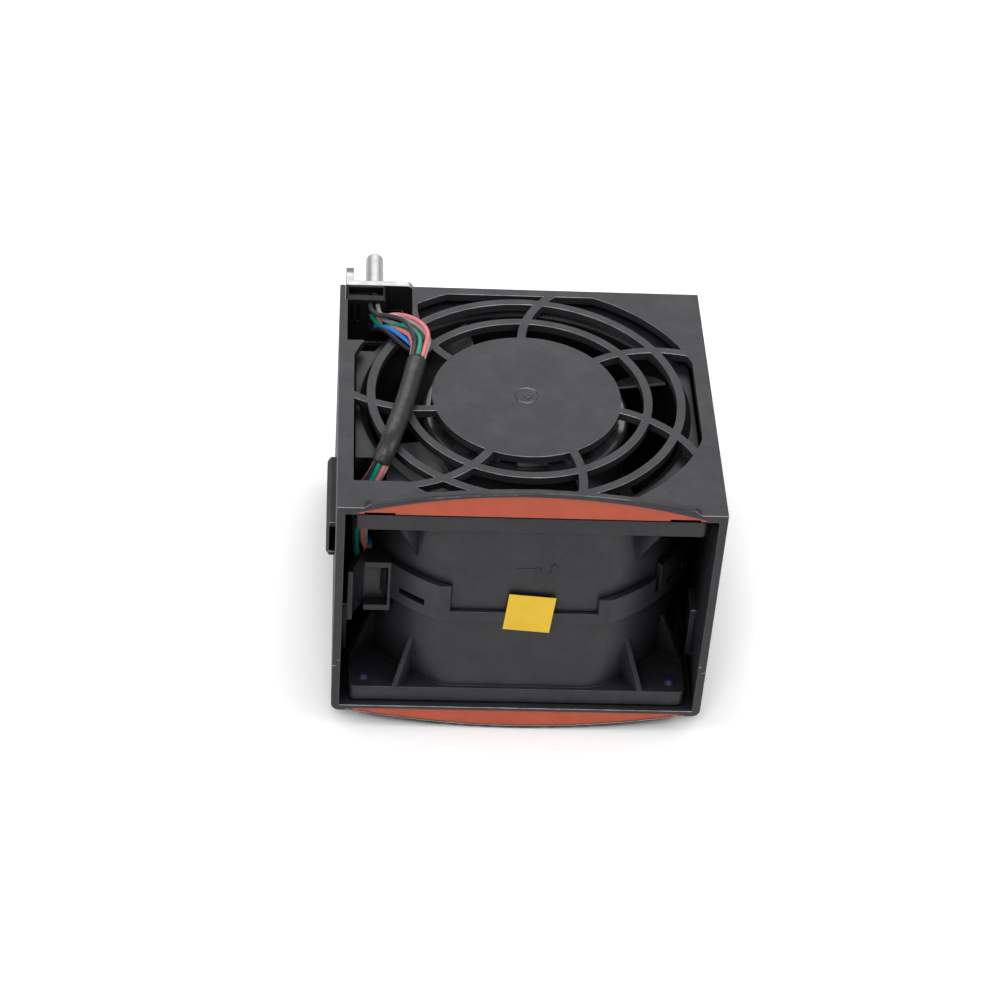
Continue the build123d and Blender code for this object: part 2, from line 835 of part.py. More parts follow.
def impeller(blades, steep_first):
    """Hub cup, cooling slots and blades."""
    hub = disc(hub_radius, hub_skirt, hub_end)
    rim = hub.edges().filter_by(GeomType.CIRCLE).sort_by(Axis.Z)[-1]
    hub = fillet(rim, hub_round)
    hub = hub - disc(hub_inner, hub_skirt - overrun, hub_end - hub_top)
    boss_low = hub_end - hub_top - hub_boss_height
    hub = hub + disc(hub_boss_radius, boss_low, hub_end - hub_top)
    hub = hub - disc(shaft_radius + shaft_fit, boss_low - overrun, hub_end - hub_top)
    slot = tube(hub_slot_outer, hub_slot_inner, hub_end - hub_top - overrun, hub_end + overrun)
    for index in range(hub_slot_count):
        angle = index * 360 / hub_slot_count
        hub = hub - (slot & wedge(angle, angle + hub_slot_angle, hub_radius, 0, stack_half + overrun))
    one = blade(steep_first)
    for index in range(blades):
        hub = hub + Rot(0, 0, index * 360 / blades) * one
    return hub


def yoke():
    """Steel cup that closes the magnet's field."""
    top = hub_end - hub_top
    cup = disc(yoke_outer, yoke_low, top - yoke_fit)
    cup = cup - disc(yoke_inner, yoke_low - overrun, top - yoke_fit - yoke_wall)
    return cup - disc(yoke_hole, 0, stack_half)


def magnet():
    """Ring magnet inside the yoke."""
    return tube(magnet_outer, magnet_inner, magnet_low, magnet_low + magnet_height)


def shaft():
    """Ground shaft with a groove for its clip."""
    top = hub_end - hub_top
    rod = disc(shaft_radius, shaft_low, top - shaft_fit)
    groove = tube(shaft_radius + overrun, shaft_radius - clip_thickness, clip_low(),
                  clip_low() + clip_thickness)
    return rod - groove


def clip_low():
    """Lower face of the shaft clip, just under the low bearing."""
    return bearing_low - clip_gap - clip_thickness


def shaft_clip():
    """Open ring that keeps the shaft in its bearings."""
    inner = shaft_radius - clip_thickness + shaft_fit
    ring = tube(clip_radius, inner, clip_low() + shaft_fit, clip_low() + clip_thickness - shaft_fit)
    return ring - block(0, clip_radius + overrun, -clip_thickness, clip_thickness, 0, bearing_low)


# Motors

def bearing_tube():
    """Brass tube pressed in the seat."""
    return tube(tube_outer, tube_inner, tube_low, tube_high)


def bearings():
    """Two shielded ball bearings on the shaft."""
    pair = []
    for low in (bearing_low, bearing_high):
        ring = tube(bearing_radius, shaft_radius + shaft_fit, low, low + bearing_width)
        race = tube(bearing_radius - clip_thickness * 2, shaft_radius + clip_thickness * 2,
                    low + bearing_width - coil_fit, low + bearing_width + overrun)
        pair.append(ring - race)
    return Compound(children=pair)


def spring_washer():
    """Wave washer above the high bearing."""
    low = bearing_high + bearing_width + washer_gap
    return tube(washer_outer + washer_gap, shaft_radius + clip_gap, low, low + washer_thickness)


def stator_stack():
    """Laminated stack: a hub ring and T-shaped teeth."""
    high = stack_low + stack_height
    hub_ring = tube(stack_inner + stack_hub_wall, stack_inner, stack_low, high)
    tooth = block(stack_inner + overrun, stack_outer - tooth_tip_height / 2,
                  -tooth_width / 2, tooth_width / 2, stack_low, high)
    shoe = tube(stack_outer, stack_outer - tooth_tip_height, stack_low, high)
    half_tip = tooth_tip_angle / 2
    shoe = shoe & wedge(-half_tip, half_tip, stack_outer + fan_half, stack_low, high)
    for index in range(tooth_count):
        hub_ring = hub_ring + Rot(0, 0, index * 360 / tooth_count) * (tooth + shoe)
    return hub_ring


def coil():
    """One winding round a tooth, as its outer form."""
    inner = stack_inner + stack_hub_wall + coil_wall
    outer = stack_outer - tooth_tip_height - coil_fit
    half = tooth_width / 2 + coil_wall
    low = stack_low - coil_end
    high = stack_low + stack_height + coil_end
    form = block(inner, outer, -half, half, low, high)
    form = fillet(form.edges().filter_by(Axis.X), coil_round) & disc(outer, low, high)
    hole = block(inner - overrun, outer + overrun, -tooth_width / 2 - coil_fit, tooth_width / 2 + coil_fit,
                 stack_low - coil_fit, stack_low + stack_height + coil_fit)
    return form - hole


def windings():
    """All windings of one motor."""
    one = coil()
    return Compound(children=[Rot(0, 0, index * 360 / tooth_count) * one for index in range(tooth_count)])


def circuit_board():
    """Driver board on the seat's boss."""
    board = tube(board_radius, tube_outer + shaft_fit, board_low, board_low + board_thickness)
    edge = block(board_flat, board_radius + overrun, -board_radius, board_radius, 0, stack_low)
    return board - Rot(0, 0, gate_angle) * edge


# Isolators

def isolator(gap):
    """Rubber plug through a flange corner, with a foot against the grille plate."""
    neck = Pos(isolator_place, isolator_place, flange_low + flange_thickness / 2) * Cylinder(
        isolator_neck, flange_thickness + isolator_seat_gap)
    head = Pos(isolator_place, isolator_place, flange_low - isolator_head_height / 2) * Cone(
        isolator_tip, isolator_head, isolator_head_height)
    half = isolator_foot_width / 2
    foot = block(isolator_place - half, isolator_place + half, isolator_foot_back, isolator_foot_front,
                 stack_half, stack_half + gap - isolator_seat_gap)
    return neck + head + foot


def isolators(gap, corners):
    """Group of isolators at the given corners."""
    one = isolator(gap)
    group = []
    for side_x, side_y in corners:
        piece = one
        if side_x < 0:
            piece = mirror(piece, about=Plane.YZ)
        if side_y < 0:
            piece = mirror(piece, about=Plane.XZ)
        group.append(piece)
    return Compound(children=group)


# Plug

bracket_left = notch_left - plug_gap
bracket_right = notch_left - bracket_width
bracket_front = half_depth + bracket_seat
bracket_back = bracket_front + bracket_thickness
pin_up = cage_height - pin_drop
nose_low = cage_height - nose_drop - nose_height
nose_left = bracket_left - bracket_width / 2 + nose_width / 2
nose_back = bracket_back + nose_length


def connector_bracket():
    """Plate behind the plug with a folded ear and holes for pin and nose."""
    low = cage_height - bracket_height
    plate = block(-bracket_left, -bracket_right, bracket_front, bracket_back, low, cage_height)
    corners = plate.edges().filter_by(Axis.Y).sort_by(Axis.X)[2:]
    plate = fillet(corners, bracket_radius)
    ear = block(-bracket_left, -bracket_left + ear_width, bracket_front, bracket_back + ear_length,
                cage_height - ear_height, cage_height)
    hole = Pos(-pin_across, bracket_front, pin_up) * Rot(90, 0, 0) * Cylinder(
        pin_radius * 0.6 + shaft_fit, 2 * (bracket_thickness + overrun))
    window = block(-nose_left - contact_fit, -nose_left + nose_width + contact_fit,
                   bracket_front - overrun, bracket_back + overrun,
                   nose_low - contact_fit, nose_low + nose_height + contact_fit)
    return plate + ear - hole - window


def guide_pin():
    """Round-nosed pin riveted in the bracket."""
    back = bracket_back + pin_length
    body = Pos(-pin_across, (bracket_back + back) / 2, pin_up) * Rot(90, 0, 0) * Cylinder(
        pin_radius, pin_length)
    nose = body.edges().filter_by(GeomType.CIRCLE).sort_by(Axis.Y)[-1]
    body = fillet(nose, pin_nose)
    length = bracket_thickness + pin_tail
    tail = Pos(-pin_across, bracket_back - length / 2, pin_up) * Rot(90, 0, 0) * Cylinder(
        pin_radius * 0.6, length)
    return body + tail


def contact_places():
    """Centres of the mating contacts in the nose."""
    places = []
    for column in range(contact_columns):
        for row in range(contact_rows):
            x = -nose_left + nose_width / 2 + (column - (contact_columns - 1) / 2) * contact_pitch_across
            z = nose_low + nose_height / 2 + (row - (contact_rows - 1) / 2) * contact_pitch_up
            places.append((x, z))
    return places


def socket_places():
    """Centres of the wire sockets in the housing's front."""
    places = []
    for row in range(socket_rows):
        for column in range(socket_columns):
            x = -socket_left + column * socket_pitch_across
            z = cage_height - socket_top_drop - row * socket_pitch_up
            places.append((x, z))
    return places


def plug_recesses():
    """Open pocket in the plug's top and the key slots in its front."""
    left = -bracket_left
    pocket = block(left + plug_pocket_side, left + plug_width - plug_pocket_side,
                   plug_front + plug_pocket_front, bracket_front - bracket_seat - plug_pocket_side,
                   cage_height - plug_pocket_depth, cage_height + overrun)
    top = cage_height - key_slot_top
    for index in range(key_slot_count):
        x = -key_slot_left + index * key_slot_pitch
        pocket = pocket + block(x, x + key_slot_width, plug_front - overrun, plug_front + key_slot_depth,
                                top - key_slot_height, top)
    return pocket


def connector_housing():
    """Moulded plug body: wire side in the corner, hollow nose behind the bracket."""
    low = cage_height - plug_height
    front = block(-bracket_left, -bracket_left + plug_width, plug_front, bracket_front - bracket_seat,
                  low, cage_height)
    edges = front.edges().filter_by(Axis.Y).group_by(Axis.Z)[-1]
    front = fillet(edges, plug_round)
    nose = block(-nose_left, -nose_left + nose_width, bracket_front - bracket_seat, nose_back,
                 nose_low, nose_low + nose_height)
    hollow = block(-nose_left + nose_wall, -nose_left + nose_width - nose_wall,
                   nose_back - contact_reach, nose_back + overrun,
                   nose_low + nose_wall, nose_low + nose_height - nose_wall)
    pin_tail_hole = Pos(-pin_across, bracket_front, pin_up) * Rot(90, 0, 0) * Cylinder(
        pin_radius, 2 * (pin_tail + contact_fit))
    body = front + nose - hollow - pin_tail_hole - plug_recesses()
    half = contact_side / 2 + contact_fit
    for x, z in contact_places():
        body = body - block(x - half, x + half, bracket_front, nose_back + overrun, z - half, z + half)
    for x, z in socket_places():
        bore = Pos(x, plug_front, z) * Rot(90, 0, 0) * Cylinder(
            wire_diameter / 2 + socket_fit, 2 * socket_depth)
        body = body - bore
    return body


def connector_contacts():
    """Mating blades in the nose."""
    half = contact_side / 2
    blades = []
    for x, z in contact_places():
        blades.append(block(x - half, x + half, bracket_front, nose_back - nose_wall, z - half, z + half))
    return Compound(children=blades)


# Harness

def at_gate(radius, height):
    """Point at a distance from the axis in the gate's direction."""
    turn = math.radians(gate_angle)
    return Vector(radius * math.cos(turn), radius * math.sin(turn), height)


def natural_radius(before, corner, after):
    """Arc as large as the two runs allow."""
    way_in = corner - before
    way_out = after - corner
    half_turn = math.radians(way_in.get_angle(way_out)) / 2
    return arc_share * min(way_in.length, way_out.length) / math.tan(half_turn)


def natural_radii(points):
    """Arc at each inner point of a route."""
    return [natural_radius(*three) for three in zip(points, points[1:], points[2:])]


def bundle_points(wire_level):
    """Centre line of the bundle from a motor's board to the sleeve's mouth."""
    height = fan_middle + wire_level
    points = [at_gate(board_flat, height), at_gate(elbow_radius, height),
              at_gate(column_radius, height + elbow_rise), at_gate(column_radius, column_top)]
    return points + [Vector(*point) for point in trunk_points]


def lane_route(points, radii, offset):
    """Route beside the centre line, carried round each bend without twist."""
    route = [points[0] + offset]
    lane_radii = []
    for before, corner, after, radius in zip(points, points[1:], points[2:], radii):
        way_in = (corner - before).normalized()
        way_out = (after - corner).normalized()
        crease = (way_in + way_out).normalized()
        shift = offset - way_in * (offset.dot(crease) / way_in.dot(crease))
        inward = (way_out - way_in * way_out.dot(way_in)).normalized()
        lane_radii.append(radius - offset.dot(inward))
        route.append(corner + shift)
        offset = shift - way_out * shift.dot(way_out)
    return route + [points[-1] + offset], lane_radii


def lane_offset(lane):
    """Place of a lane in the bundle's section at the motor end."""
    if lane == 0:
        return Vector(0, 0, 0)
    angle = math.radians(lane_turn_angle + (lane - 1) * 360 / (len(wire_lanes) - 1))
    turn = math.radians(gate_angle)
    across = lane_radius * math.sin(angle)
    return Vector(-across * math.sin(turn), across * math.cos(turn), lane_radius * math.cos(angle))


def wire_route(name):
    """All points and arcs of one wire, from its board to its socket."""
    level = intake_wire_level if name in intake_wires else exhaust_wire_level
    points = bundle_points(level)
    route, radii = lane_route(points, natural_radii(points), lane_offset(wire_lanes.index(name)))
    x, z = socket_places()[wire_sockets.index(name)]
    tail = [Vector(*point) for point in wire_tails[name]]
    tail.append(Vector(x, plug_front + socket_depth, z))
    radii = radii + natural_radii(route[-2:] + tail)
    return route + tail, radii


def swept(route, radii, profile):
    """Round section carried along straight runs joined by tangent arcs."""
    path = FilletPolyline(*route, radius=radii)
    start = Plane(origin=path @ 0, z_dir=path % 0)
    return sweep(start * profile, path=path), path.length


def wire(name):
    """One insulated wire."""
    route, radii = wire_route(name)
    solid, length = swept(route, radii, Circle(wire_diameter / 2))
    section = math.pi * wire_diameter ** 2 / 4
    print(name, "length", round(length, 1), "volume share", round(solid.volume / section / length, 3),
          "radii", [round(radius, 1) for radius in radii])
    return solid


def harness_sleeve():
    """Soft sleeve round the bundle, from its mouth to the dive through the plate."""
    points = bundle_points(intake_wire_level)
    trunk = points[-len(trunk_points):]
    radii = natural_radii(trunk)
    first = trunk[1] + (trunk[0] - trunk[1]).normalized() * sleeve_end
    last = trunk[-1] + (trunk[-2] - trunk[-1]).normalized() * sleeve_start
    profile = Circle(sleeve_inner + sleeve_wall) - Circle(sleeve_inner)
    solid, length = swept([first] + trunk[1:-1] + [last], radii, profile)
    print("harness_sleeve length", round(length, 1), "radii", [round(radius, 1) for radius in radii])
    return solid


def label():
    """Plain sticker on the collar."""
    plate = Box(label_side, label_thickness, label_side)
    y = -fan_half - label_gap - label_thickness / 2
    return Pos(label_across, y, label_up) * Rot(0, label_turn, 0) * plate


nodes = {
    "upper_cage": upper_cage(),
    "lower_cage": lower_cage(),
    "upper_grip_pad": at_inlet(notched_grip_pad()),
    "lower_grip_pad": at_outlet(grip_pad(low_pad_half_width, low_pad_tip_drop, low_pad_edge)),
    "intake_housing": intake_housing(),
    "exhaust_housing": exhaust_housing(),
    "intake_impeller": stacked(impeller(inlet_blades, False), "inlet"),
    "exhaust_impeller": stacked(impeller(outlet_blades, True), "outlet"),
    "connector_bracket": connector_bracket(),
    "guide_pin": guide_pin(),
    "connector_housing": connector_housing(),
    "connector_contacts": connector_contacts(),
    "yellow_label": label(),
}
for end in ("inlet", "outlet"):
    name = {"inlet": "intake", "outlet": "exhaust"}[end]
    nodes[name + "_yoke"] = stacked(yoke(), end)
    nodes[name + "_magnet"] = stacked(magnet(), end)
    nodes[name + "_shaft"] = stacked(shaft(), end)
    nodes[name + "_shaft_clip"] = stacked(shaft_clip(), end)
    nodes[name + "_bearing_tube"] = stacked(bearing_tube(), end)
    nodes[name + "_bearings"] = stacked(bearings(), end)
    nodes[name + "_spring_washer"] = stacked(spring_washer(), end)
    nodes[name + "_stator_stack"] = stacked(stator_stack(), end)
    nodes[name + "_windings"] = stacked(windings(), end)
    nodes[name + "_circuit_board"] = stacked(circuit_board(), end)
inlet_gap = cage_height - inlet_plate - fan_bottom - fan_height
outlet_gap = fan_bottom - outlet_plate
for name in wire_lanes:
    nodes[name] = wire(name)
nodes["harness_sleeve"] = harness_sleeve()
nodes["upper_isolators"] = stacked(isolators(inlet_gap, [(1, 1), (1, -1), (-1, -1)]), "inlet")
nodes["lower_isolators"] = stacked(isolators(outlet_gap, [(1, 1), (1, -1), (-1, -1), (-1, 1)]), "outlet")

os.makedirs("parts", exist_ok=True)
for name, solid in nodes.items():
    export_step(solid, "parts/" + name + ".step")
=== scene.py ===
"""Dresses the server fan module: finishes, small moulded detail, harness, studio and camera."""

import json
import logging
import math
from dataclasses import dataclass, field
from enum import Enum
from typing import Optional, Sequence

import bmesh
import bpy
from mathutils import Matrix, Vector

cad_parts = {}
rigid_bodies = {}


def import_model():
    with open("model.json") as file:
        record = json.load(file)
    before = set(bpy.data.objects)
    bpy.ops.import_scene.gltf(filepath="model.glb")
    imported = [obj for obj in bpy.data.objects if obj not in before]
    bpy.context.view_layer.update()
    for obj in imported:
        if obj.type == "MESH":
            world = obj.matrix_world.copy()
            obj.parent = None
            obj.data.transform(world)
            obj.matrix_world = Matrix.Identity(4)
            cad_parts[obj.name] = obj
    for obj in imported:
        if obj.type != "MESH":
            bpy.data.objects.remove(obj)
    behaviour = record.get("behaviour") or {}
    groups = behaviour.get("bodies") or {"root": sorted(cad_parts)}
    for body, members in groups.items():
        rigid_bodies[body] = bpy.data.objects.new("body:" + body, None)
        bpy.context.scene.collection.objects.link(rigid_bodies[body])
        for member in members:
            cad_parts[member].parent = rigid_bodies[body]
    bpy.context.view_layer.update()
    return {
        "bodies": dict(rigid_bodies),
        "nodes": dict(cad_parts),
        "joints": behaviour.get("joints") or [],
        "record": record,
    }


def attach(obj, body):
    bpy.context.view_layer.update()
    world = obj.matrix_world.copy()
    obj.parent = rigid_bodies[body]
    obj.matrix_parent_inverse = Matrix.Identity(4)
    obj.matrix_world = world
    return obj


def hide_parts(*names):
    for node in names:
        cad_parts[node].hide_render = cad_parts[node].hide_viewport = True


MM = 0.001
LOG = logging.getLogger("fan_module")

Point = tuple[float, float, float]


def linear(code: str, alpha: float = 1.0) -> tuple[float, float, float, float]:
    """Turns an sRGB hex code into a linear colour.

    Args:
        code: six hex digits, with or without a leading hash.
        alpha: opacity of the colour.

    Returns:
        Linear red, green, blue and alpha.
    """
    digits = code.lstrip("#")
    channels = [int(digits[i:i + 2], 16) / 255 for i in (0, 2, 4)]
    values = [c / 12.92 if c <= 0.04045 else ((c + 0.055) / 1.055) ** 2.4 for c in channels]
    return (values[0], values[1], values[2], alpha)


def add_node(tree: bpy.types.NodeTree, kind: str, settings: Optional[dict] = None,
             inputs: Optional[dict] = None) -> bpy.types.Node:
    """Adds one node with its settings, values and links.

    Args:
        tree: node tree that gets the node.
        kind: node type.
        settings: attributes of the node.
        inputs: socket name or index to a value, or to the output socket that feeds it.

    Returns:
        The new node.
    """
    node = tree.nodes.new(kind)
    for name, value in (settings or {}).items():
        setattr(node, name, value)
    for name, value in (inputs or {}).items():
        socket = node.inputs[name]
        if isinstance(value, bpy.types.NodeSocket):
            tree.links.new(value, socket)
        else:
            socket.default_value = value
    return node


class Grain(Enum):
    """How a moulded surface was finished in the tool."""

    ERODED = "spark eroded, matt and pebbled"
    SATIN = "stoned, satin"
    POLISHED = "polished, glossy"


PLACE_DIGITS = 8
MOTTLE_MM = 4.5
SPECK_MM = 1.6
DUST_PATCH_MM = 11
DUST_COLOUR = "8c8b8a"
PLASTIC_IOR = 1.5
# Edges facing this way, up and to the front, get the strongest painted highlight
GLINT_WAY = (0.0, -0.64, 0.77)


@dataclass(frozen=True)
class MouldedPlastic:
    """Injection-moulded PBT or ABS, pigmented through. Its edges get a painted highlight and its recesses
    painted shade.
    """

    name: str
    colour: str
    worn_colour: str
    grain: Grain = Grain.ERODED
    roughness: float = 0.45
    grain_mm: float = 0.35
    grain_depth_mm: float = 0.02
    edge_mm: float = 0.25
    dust: float = 0.0
    # Strength and colour of a painted highlight along the edges
    edge_glint: float = 0.0
    glint_colour: str = "8a8a90"
    # Reach of painted shade in recesses, in millimetres; zero leaves it out
    painted_shade_mm: float = 0.0
    sheen: float = 0.5

    def make(self) -> bpy.types.Material:
        """Builds the material with grain, faint flow mottling, rubbed patches, soft moulded edges with a
        painted highlight, and painted shade in its recesses.
        """
        material, tree, shader, coordinates = new_material(self.name)
        LOG.info("%s is %s", self.name, self.grain.value)
        grain = add_node(tree, "ShaderNodeTexNoise", {}, {
            "Vector": coordinates, "Scale": 1 / (self.grain_mm * MM), "Detail": 3.0, "Roughness": 0.6})
        mottle = add_node(tree, "ShaderNodeTexNoise", {}, {
            "Vector": coordinates, "Scale": 1 / (MOTTLE_MM * MM), "Detail": 6.0, "Roughness": 0.68})
        rubbed = add_node(tree, "ShaderNodeMapRange", {}, {
            "Value": mottle.outputs["Fac"], "From Min": 0.42, "From Max": 0.72, "To Min": 0.0, "To Max": 1.0})
        colour = add_node(tree, "ShaderNodeMix", {"data_type": "RGBA"}, {
            "Factor": rubbed.outputs["Result"], "A": linear(self.colour), "B": linear(self.worn_colour)})
        specks = add_node(tree, "ShaderNodeTexVoronoi", {"feature": "F1"}, {
            "Vector": coordinates, "Scale": 1 / (SPECK_MM * MM), "Randomness": 1.0})
        speck_mask = add_node(tree, "ShaderNodeMapRange", {}, {
            "Value": specks.outputs["Distance"], "From Min": 0.05, "From Max": 0.085,
            "To Min": self.dust, "To Max": 0.0})
        patchy = add_node(tree, "ShaderNodeTexNoise", {}, {
            "Vector": coordinates, "Scale": 1 / (DUST_PATCH_MM * MM), "Detail": 2.0})
        patch_mask = add_node(tree, "ShaderNodeMapRange", {}, {
            "Value": patchy.outputs["Fac"], "From Min": 0.5, "From Max": 0.62})
        dust_mask = add_node(tree, "ShaderNodeMath", {"operation": "MULTIPLY"}, {
            0: speck_mask.outputs["Result"], 1: patch_mask.outputs["Result"]})
        dusted = add_node(tree, "ShaderNodeMix", {"data_type": "RGBA"}, {
            "Factor": dust_mask.outputs["Value"], "A": colour.outputs["Result"], "B": linear(DUST_COLOUR)})
        rough = add_node(tree, "ShaderNodeMapRange", {}, {
            "Value": mottle.outputs["Fac"], "From Min": 0.3, "From Max": 0.7,
            "To Min": self.roughness + 0.04, "To Max": self.roughness - 0.04})
        edge = add_node(tree, "ShaderNodeBevel", {"samples": 6}, {"Radius": self.edge_mm * MM})
        bump = add_node(tree, "ShaderNodeBump", {}, {
            "Height": grain.outputs["Fac"], "Distance": self.grain_depth_mm * MM, "Strength": 1.0,
            "Normal": edge.outputs["Normal"]})
        # Painted highlight along the edges, mixed into the colour
        glint_mask = self.painted_edge_glint(tree, edge, mottle)
        coloured = add_node(tree, "ShaderNodeMix", {"data_type": "RGBA"}, {
            "Factor": glint_mask, "A": dusted.outputs["Result"], "B": linear(self.glint_colour)})
        connect(tree, shader, {"Base Color": coloured.outputs["Result"],
                               "Roughness": rough.outputs["Result"], "Normal": bump.outputs["Normal"]})
        shader.inputs["Specular IOR Level"].default_value = self.sheen
        if self.painted_shade_mm:
            self.paint_recess_shade(tree, shader, coloured)
        shader.inputs["IOR"].default_value = PLASTIC_IOR
        return material

    def paint_recess_shade(self, tree: bpy.types.NodeTree, shader: bpy.types.Node,
                      coloured: bpy.types.Node) -> None:
        """Paints shade into enclosed corners: a darker colour and less sheen there.

        Args:
            tree: node tree of the material.
            shader: the material's shader.
            coloured: node with the colour so far.
        """
        # Painted shade: ambient occlusion darkens the colour and the sheen in recesses
        shade_ao = add_node(tree, "ShaderNodeAmbientOcclusion", {"samples": 6}, {
            "Distance": self.painted_shade_mm * MM})
        painted_shade = add_node(tree, "ShaderNodeMapRange", {}, {
            "Value": shade_ao.outputs["AO"], "From Min": 0.15, "From Max": 0.62,
            "To Min": 0.12, "To Max": 1.0})
        shaded_colour = add_node(tree, "ShaderNodeMix", {"data_type": "RGBA", "blend_type": "MULTIPLY"}, {
            "Factor": 1.0, "A": coloured.outputs["Result"], "B": painted_shade.outputs["Result"]})
        sheen = add_node(tree, "ShaderNodeMath", {"operation": "MULTIPLY"}, {
            0: painted_shade.outputs["Result"], 1: self.sheen})
        connect(tree, shader, {"Base Color": shaded_colour.outputs["Result"],
                               "Specular IOR Level": sheen.outputs["Value"]})

    def painted_edge_glint(self, tree: bpy.types.NodeTree, edge: bpy.types.Node,
                  mottle: bpy.types.Node) -> bpy.types.NodeSocket:
        """Finds the edges that get a painted highlight, strongest where they face up and to the front.

        Args:
            tree: node tree of the material.
            edge: bevel node that rounds the edges.
            mottle: noise that breaks the line up.

        Returns:
            Zero on the faces, up to the painted highlight's strength along the edges.
        """
        geometry = add_node(tree, "ShaderNodeNewGeometry")
        facing = add_node(tree, "ShaderNodeVectorMath", {"operation": "DOT_PRODUCT"}, {
            0: edge.outputs["Normal"], 1: geometry.outputs["Normal"]})
        line = add_node(tree, "ShaderNodeMapRange", {}, {
            "Value": facing.outputs["Value"], "From Min": 0.99, "From Max": 0.9,
            "To Min": 0.0, "To Max": self.edge_glint})
        broken = add_node(tree, "ShaderNodeMapRange", {}, {
            "Value": mottle.outputs["Fac"], "From Min": 0.38, "From Max": 0.62, "To Min": 0.5, "To Max": 1.0})
        # Painted highlight is strongest on edges that face up and to the front
        toward_glint = add_node(tree, "ShaderNodeVectorMath", {"operation": "DOT_PRODUCT"}, {
            0: edge.outputs["Normal"], 1: GLINT_WAY})
        glint_facing = add_node(tree, "ShaderNodeMapRange", {}, {
            "Value": toward_glint.outputs["Value"], "From Min": 0.8, "From Max": 0.97,
            "To Min": 0.12, "To Max": 1.0})
        broken_glint = add_node(tree, "ShaderNodeMath", {"operation": "MULTIPLY"}, {
            0: line.outputs["Result"], 1: broken.outputs["Result"]})
        facing_glint = add_node(tree, "ShaderNodeMath", {"operation": "MULTIPLY"}, {
            0: broken_glint.outputs["Value"], 1: glint_facing.outputs["Result"]})
        return facing_glint.outputs["Value"]


@dataclass(frozen=True)
class LacqueredSteel:
    """Steel sheet lacquered black on its faces; faces that look up are drawn as unlacquered steel, a painted
    highlight.
    """

    name: str
    colour: str
    # Colour of the steel drawn on faces that look up, a painted highlight
    steel: str
    roughness: float = 0.3
    tip_mm: float = 34.9
    tip_blend_mm: float = 0.3

    def make(self) -> bpy.types.Material:
        """Builds lacquer on the faces and a painted highlight of unlacquered steel on the faces that look up,
        weaker past the tip.
        """
        material, tree, shader, coordinates = new_material(self.name)
        geometry = add_node(tree, "ShaderNodeNewGeometry")
        parts = add_node(tree, "ShaderNodeSeparateXYZ", {}, {"Vector": geometry.outputs["Normal"]})
        # Faces that look up get the painted highlight
        upward = add_node(tree, "ShaderNodeMapRange", {}, {
            "Value": parts.outputs["Z"], "From Min": 0.5, "From Max": 0.8})
        place = add_node(tree, "ShaderNodeSeparateXYZ", {}, {"Vector": coordinates})
        # The painted highlight falls to 0.3 of its strength past the tip
        glint_fade_at_tip = add_node(tree, "ShaderNodeMapRange", {}, {
            "Value": place.outputs["Y"], "From Min": (self.tip_mm - self.tip_blend_mm) * MM,
            "From Max": (self.tip_mm + self.tip_blend_mm) * MM, "To Min": 1.0, "To Max": 0.3})
        top_glint = add_node(tree, "ShaderNodeMath", {"operation": "MULTIPLY"}, {
            0: upward.outputs["Result"], 1: glint_fade_at_tip.outputs["Result"]})
        stains = add_node(tree, "ShaderNodeTexNoise", {}, {
            "Vector": coordinates, "Scale": 1 / (2.2 * MM), "Detail": 4.0})
        tone = add_node(tree, "ShaderNodeMapRange", {}, {
            "Value": stains.outputs["Fac"], "From Min": 0.3, "From Max": 0.7, "To Min": 1.0, "To Max": 0.82})
        metal = add_node(tree, "ShaderNodeMix", {"data_type": "RGBA", "blend_type": "MULTIPLY"}, {
            "Factor": 1.0, "A": linear(self.steel), "B": tone.outputs["Result"]})
        colour = add_node(tree, "ShaderNodeMix", {"data_type": "RGBA"}, {
            "Factor": top_glint.outputs["Value"], "A": linear(self.colour), "B": metal.outputs["Result"]})
        rough = add_node(tree, "ShaderNodeMapRange", {}, {
            "Value": stains.outputs["Fac"], "From Min": 0.3, "From Max": 0.7,
            "To Min": self.roughness - 0.06, "To Max": self.roughness + 0.1})
        edge = add_node(tree, "ShaderNodeBevel", {"samples": 6}, {"Radius": 0.25 * MM})
        bump = add_node(tree, "ShaderNodeBump", {}, {
            "Height": stains.outputs["Fac"], "Distance": 0.02 * MM, "Strength": 0.6,
            "Normal": edge.outputs["Normal"]})
        connect(tree, shader, {"Base Color": colour.outputs["Result"], "Roughness": rough.outputs["Result"],
                               "Metallic": top_glint.outputs["Value"], "Normal": bump.outputs["Normal"]})
        return material


